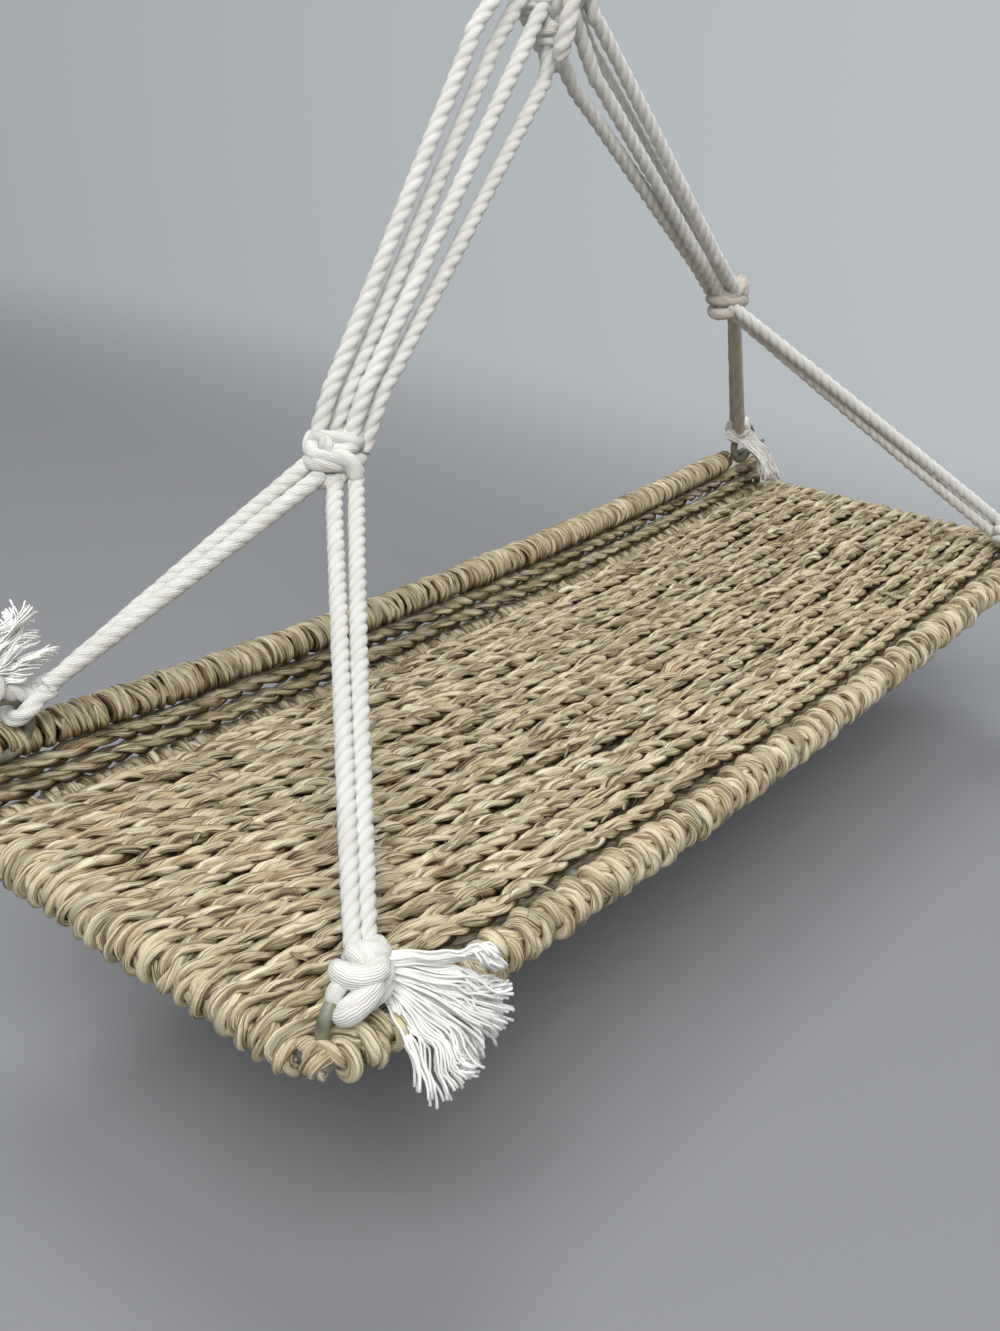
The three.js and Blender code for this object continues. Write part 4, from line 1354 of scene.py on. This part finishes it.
def corner_turns(side, y, inward, number):
    """The turns of grass round an end of a long wire, where the end wire meets it."""
    turns = []
    for i in range(34):
        angle = tau * i / 14 + number
        out = 2.7 + 0.6 * wander(i, 5, 340 + side)
        turns.append(Vector((
            side * HALF_LENGTH + out * cos(angle), y + inward * (6.6 * i / 33 - 0.6),
            out * sin(angle),
        )))
    return smooth_line(turns, 1.0)


class ROPESHELF_OT_rail_wraps(bpy.types.Operator):
    """Wind the grass wraps on the front rail, the back wire and the raised rail"""

    bl_idname = "ropeshelf.rail_wraps"
    bl_label = "Rail wraps"

    def execute(self, context):
        scale = context.scene.ropeshelf_grass.strand / USUAL_STRAND
        shapes = [blade_outline(10, seed) for seed in (11, 12, 13)]
        for number, wrap in enumerate(ROPE_WRAPS):
            name, y, pitch, radius, strand, throw, lay, start, end = wrap
            work = Piecework(f"{name}_coil")
            line = coil_line(
                y, 0.0, start - HALF_LENGTH, HALF_LENGTH - end, pitch, radius, number, 300 + number,
            )
            seed = 310 + number * 5
            grass_rope(work, shapes, line, strand * scale, throw * scale, lay, 0.4, seed, 2, 1.0)
            under = coil_line(
                y, 0.0, 2 - HALF_LENGTH, HALF_LENGTH - 4, 3.5, 2.6, 1.0, 330 + number, 0.3,
            )
            work.sweep(shapes[1], under, 1.3 * scale)
            for side in (-1, 1):
                line = corner_turns(side, y, -1 if number else 1, number)
                grass_rope(
                    work, shapes, line, 1.2 * scale, 0.95 * scale, 13.0, 0.7, 350 + side, 2, 1.0,
                )
            work.roughen(2.8, 0.25, 20.0 + number)
            work.done("dried seagrass", "tray", name)
        work = Piecework("raised_rail_wrap_coil")
        for layer, (pitch, radius, strand) in enumerate(RAIL_LAYERS):
            line = coil_line(
                FLOOR_DEPTH, RAIL_RISE, 3 - HALF_LENGTH, HALF_LENGTH - 38, pitch, radius,
                2 + 2 * layer, 302 + 9 * layer, 0.9, 0.12,
            )
            radii, turns = [], []
            for i in range(len(line)):
                swell = 1 + 0.36 * wander(i, 11, 320 + layer) + 0.16 * wander(i, 4, 321)
                radii.append(strand * scale * swell)
                turns.append(2.2 * wander(i, 16, 322))
            # The core, reaches and below set where the grass material paints shade: in the creases
            # and on the coil's lower side.
            core = [Vector((p.x, FLOOR_DEPTH, RAIL_RISE + droop(p.x))) for p in line]
            work.sweep(shapes[layer], line, radii, turns, None, core, (4.2, 5.6), (4.6, 6.5))
        work.roughen(2.4, 0.3, 24.0)
        work.done("dried seagrass", "tray", "raised_rail_wrap")
        put_away(*shapes)
        return {"FINISHED"}


# The two grass cords across the back, and how high each lies at its ends
WALL_CORDS = (("lower_wall_cord", 9.7), ("upper_wall_cord", 16.5))


class ROPESHELF_OT_back_ropes(bpy.types.Operator):
    """Stretch the two grass cords across the back"""

    bl_idname = "ropeshelf.back_ropes"
    bl_label = "Back cords"

    def execute(self, context):
        shapes = [blade_outline(10, seed) for seed in (21, 22, 23)]
        for number, (name, rise) in enumerate(WALL_CORDS):
            line = []
            for i in range(61):
                x = 222.7 * (i / 30 - 1)
                fade = min(1, (223 - abs(x)) / 15)
                aside = 1.2 * wander(x, 30, 420 + number) * fade
                lift = 1.1 * wander(x, 26, 430 + number) * fade
                line.append(Vector((x, FLOOR_DEPTH + aside, rise + droop(x) + lift)))
            work = Piecework(f"{name}_grass")
            phase, seed = number * 1.4, 400 + number * 7
            grass_rope(work, shapes, line, 1.6, 1.65, 26.0, phase, seed, 3, below=(1.6, 3.2))
            work.roughen(2.8, 0.2, 30.0 + number)
            piece = work.done("dried seagrass", "tray", name)
            steps = even_steps(line, 20.0)
            route = [Vector((p.x, FLOOR_DEPTH, rise + droop(p.x))) for p in steps]
            in_frame(route[0])
            line_length(route) / 1000
            [in_frame(place) for place in route]
        put_away(*shapes)
        return {"FINISHED"}


class ROPESHELF_OT_loose_bits(bpy.types.Operator):
    """Scatter loose leaf bits and fine fibres over the grass"""

    bl_idname = "ropeshelf.loose_bits"
    bl_label = "Loose bits"

    def execute(self, context):
        flake = outline("flake outline", [1.0, 0.28, 0.16, 0.28] * 2)
        fibre = round_outline(4)
        chance = random.Random(4)
        work = Piecework("loose_leaf_bits")
        for number in range(context.scene.ropeshelf_grass.bits):
            x = chance.uniform(-215, 215)
            y = chance.uniform(-2, 140)
            foot = Vector((x, y, ROW_LIFT + droop(x) + 2.7))
            heading = chance.uniform(-0.5, 0.5) + (0 if chance.random() < 0.8 else 1.4)
            ahead = Vector((cos(heading), sin(heading), chance.uniform(-0.1, 0.22)))
            size = chance.uniform(4, 9)
            thin = number % 3 > 0
            arch = chance.uniform(0.7, 1.1)
            points = []
            for i in range(6):
                lift = (1.2 if thin else 0.4) * sin(pi * i / 5 * arch)
                points.append(foot + ahead * size * (i / 5) + UP * lift)
            line = smooth_line(points, 1.0)
            width = 0.12 if thin else chance.uniform(0.5, 0.95)
            radii = []
            for i in range(len(line)):
                share = min(max(i / (len(line) - 1), 0.08), 0.92)
                radii.append(width * (0.35 + 0.65 * sin(pi * share)))
            work.sweep(fibre if thin else flake, line, radii, chance.uniform(-0.5, 0.5))
        work.done("dried seagrass", "tray")
        put_away(flake, fibre)
        return {"FINISHED"}


class ROPESHELF_PT_panel(bpy.types.Panel):
    """Lists the shelf's sizes, colours and the steps that build it"""

    bl_idname = "ROPESHELF_PT_panel"
    bl_label = "Rope shelf"
    bl_space_type = "VIEW_3D"
    bl_region_type = "UI"
    bl_category = "Rope shelf"

    def draw(self, context):
        for key in GROUPS:
            group = getattr(context.scene, key)
            box = self.layout.box()
            box.label(text=key.removeprefix("ropeshelf_").capitalize())
            for size in group.bl_rna.properties.keys():
                if size not in ("rna_type", "name"):
                    box.prop(group, size)
        column = self.layout.column(align=True)
        for step in STEPS:
            column.operator(step.bl_idname)


GROUPS = {
    "ropeshelf_cords": RopeShelfCords,
    "ropeshelf_grass": RopeShelfGrass,
    "ropeshelf_wire": RopeShelfWire,
    "ropeshelf_finish": RopeShelfFinish,
}
STEPS = (
    ROPESHELF_OT_stage,
    ROPESHELF_OT_lower_cords,
    ROPESHELF_OT_upper_cords,
    ROPESHELF_OT_hanging_loop,
    ROPESHELF_OT_top_knot,
    ROPESHELF_OT_gather_knots,
    ROPESHELF_OT_corner_knots,
    ROPESHELF_OT_tassels,
    ROPESHELF_OT_wires,
    ROPESHELF_OT_floor,
    ROPESHELF_OT_rail_wraps,
    ROPESHELF_OT_back_ropes,
    ROPESHELF_OT_loose_bits,
)


def register():
    for key, group in GROUPS.items():
        bpy.utils.register_class(group)
        setattr(bpy.types.Scene, key, bpy.props.PointerProperty(type=group))
    for step in (*STEPS, ROPESHELF_PT_panel):
        bpy.utils.register_class(step)


def unregister():
    for step in (ROPESHELF_PT_panel, *reversed(STEPS)):
        bpy.utils.unregister_class(step)
    for key, group in reversed(GROUPS.items()):
        delattr(bpy.types.Scene, key)
        bpy.utils.unregister_class(group)


def main():
    register()
    for step in STEPS:
        family, action = step.bl_idname.split(".")
        getattr(getattr(bpy.ops, family), action)()


if __name__ == "__main__":
    main()
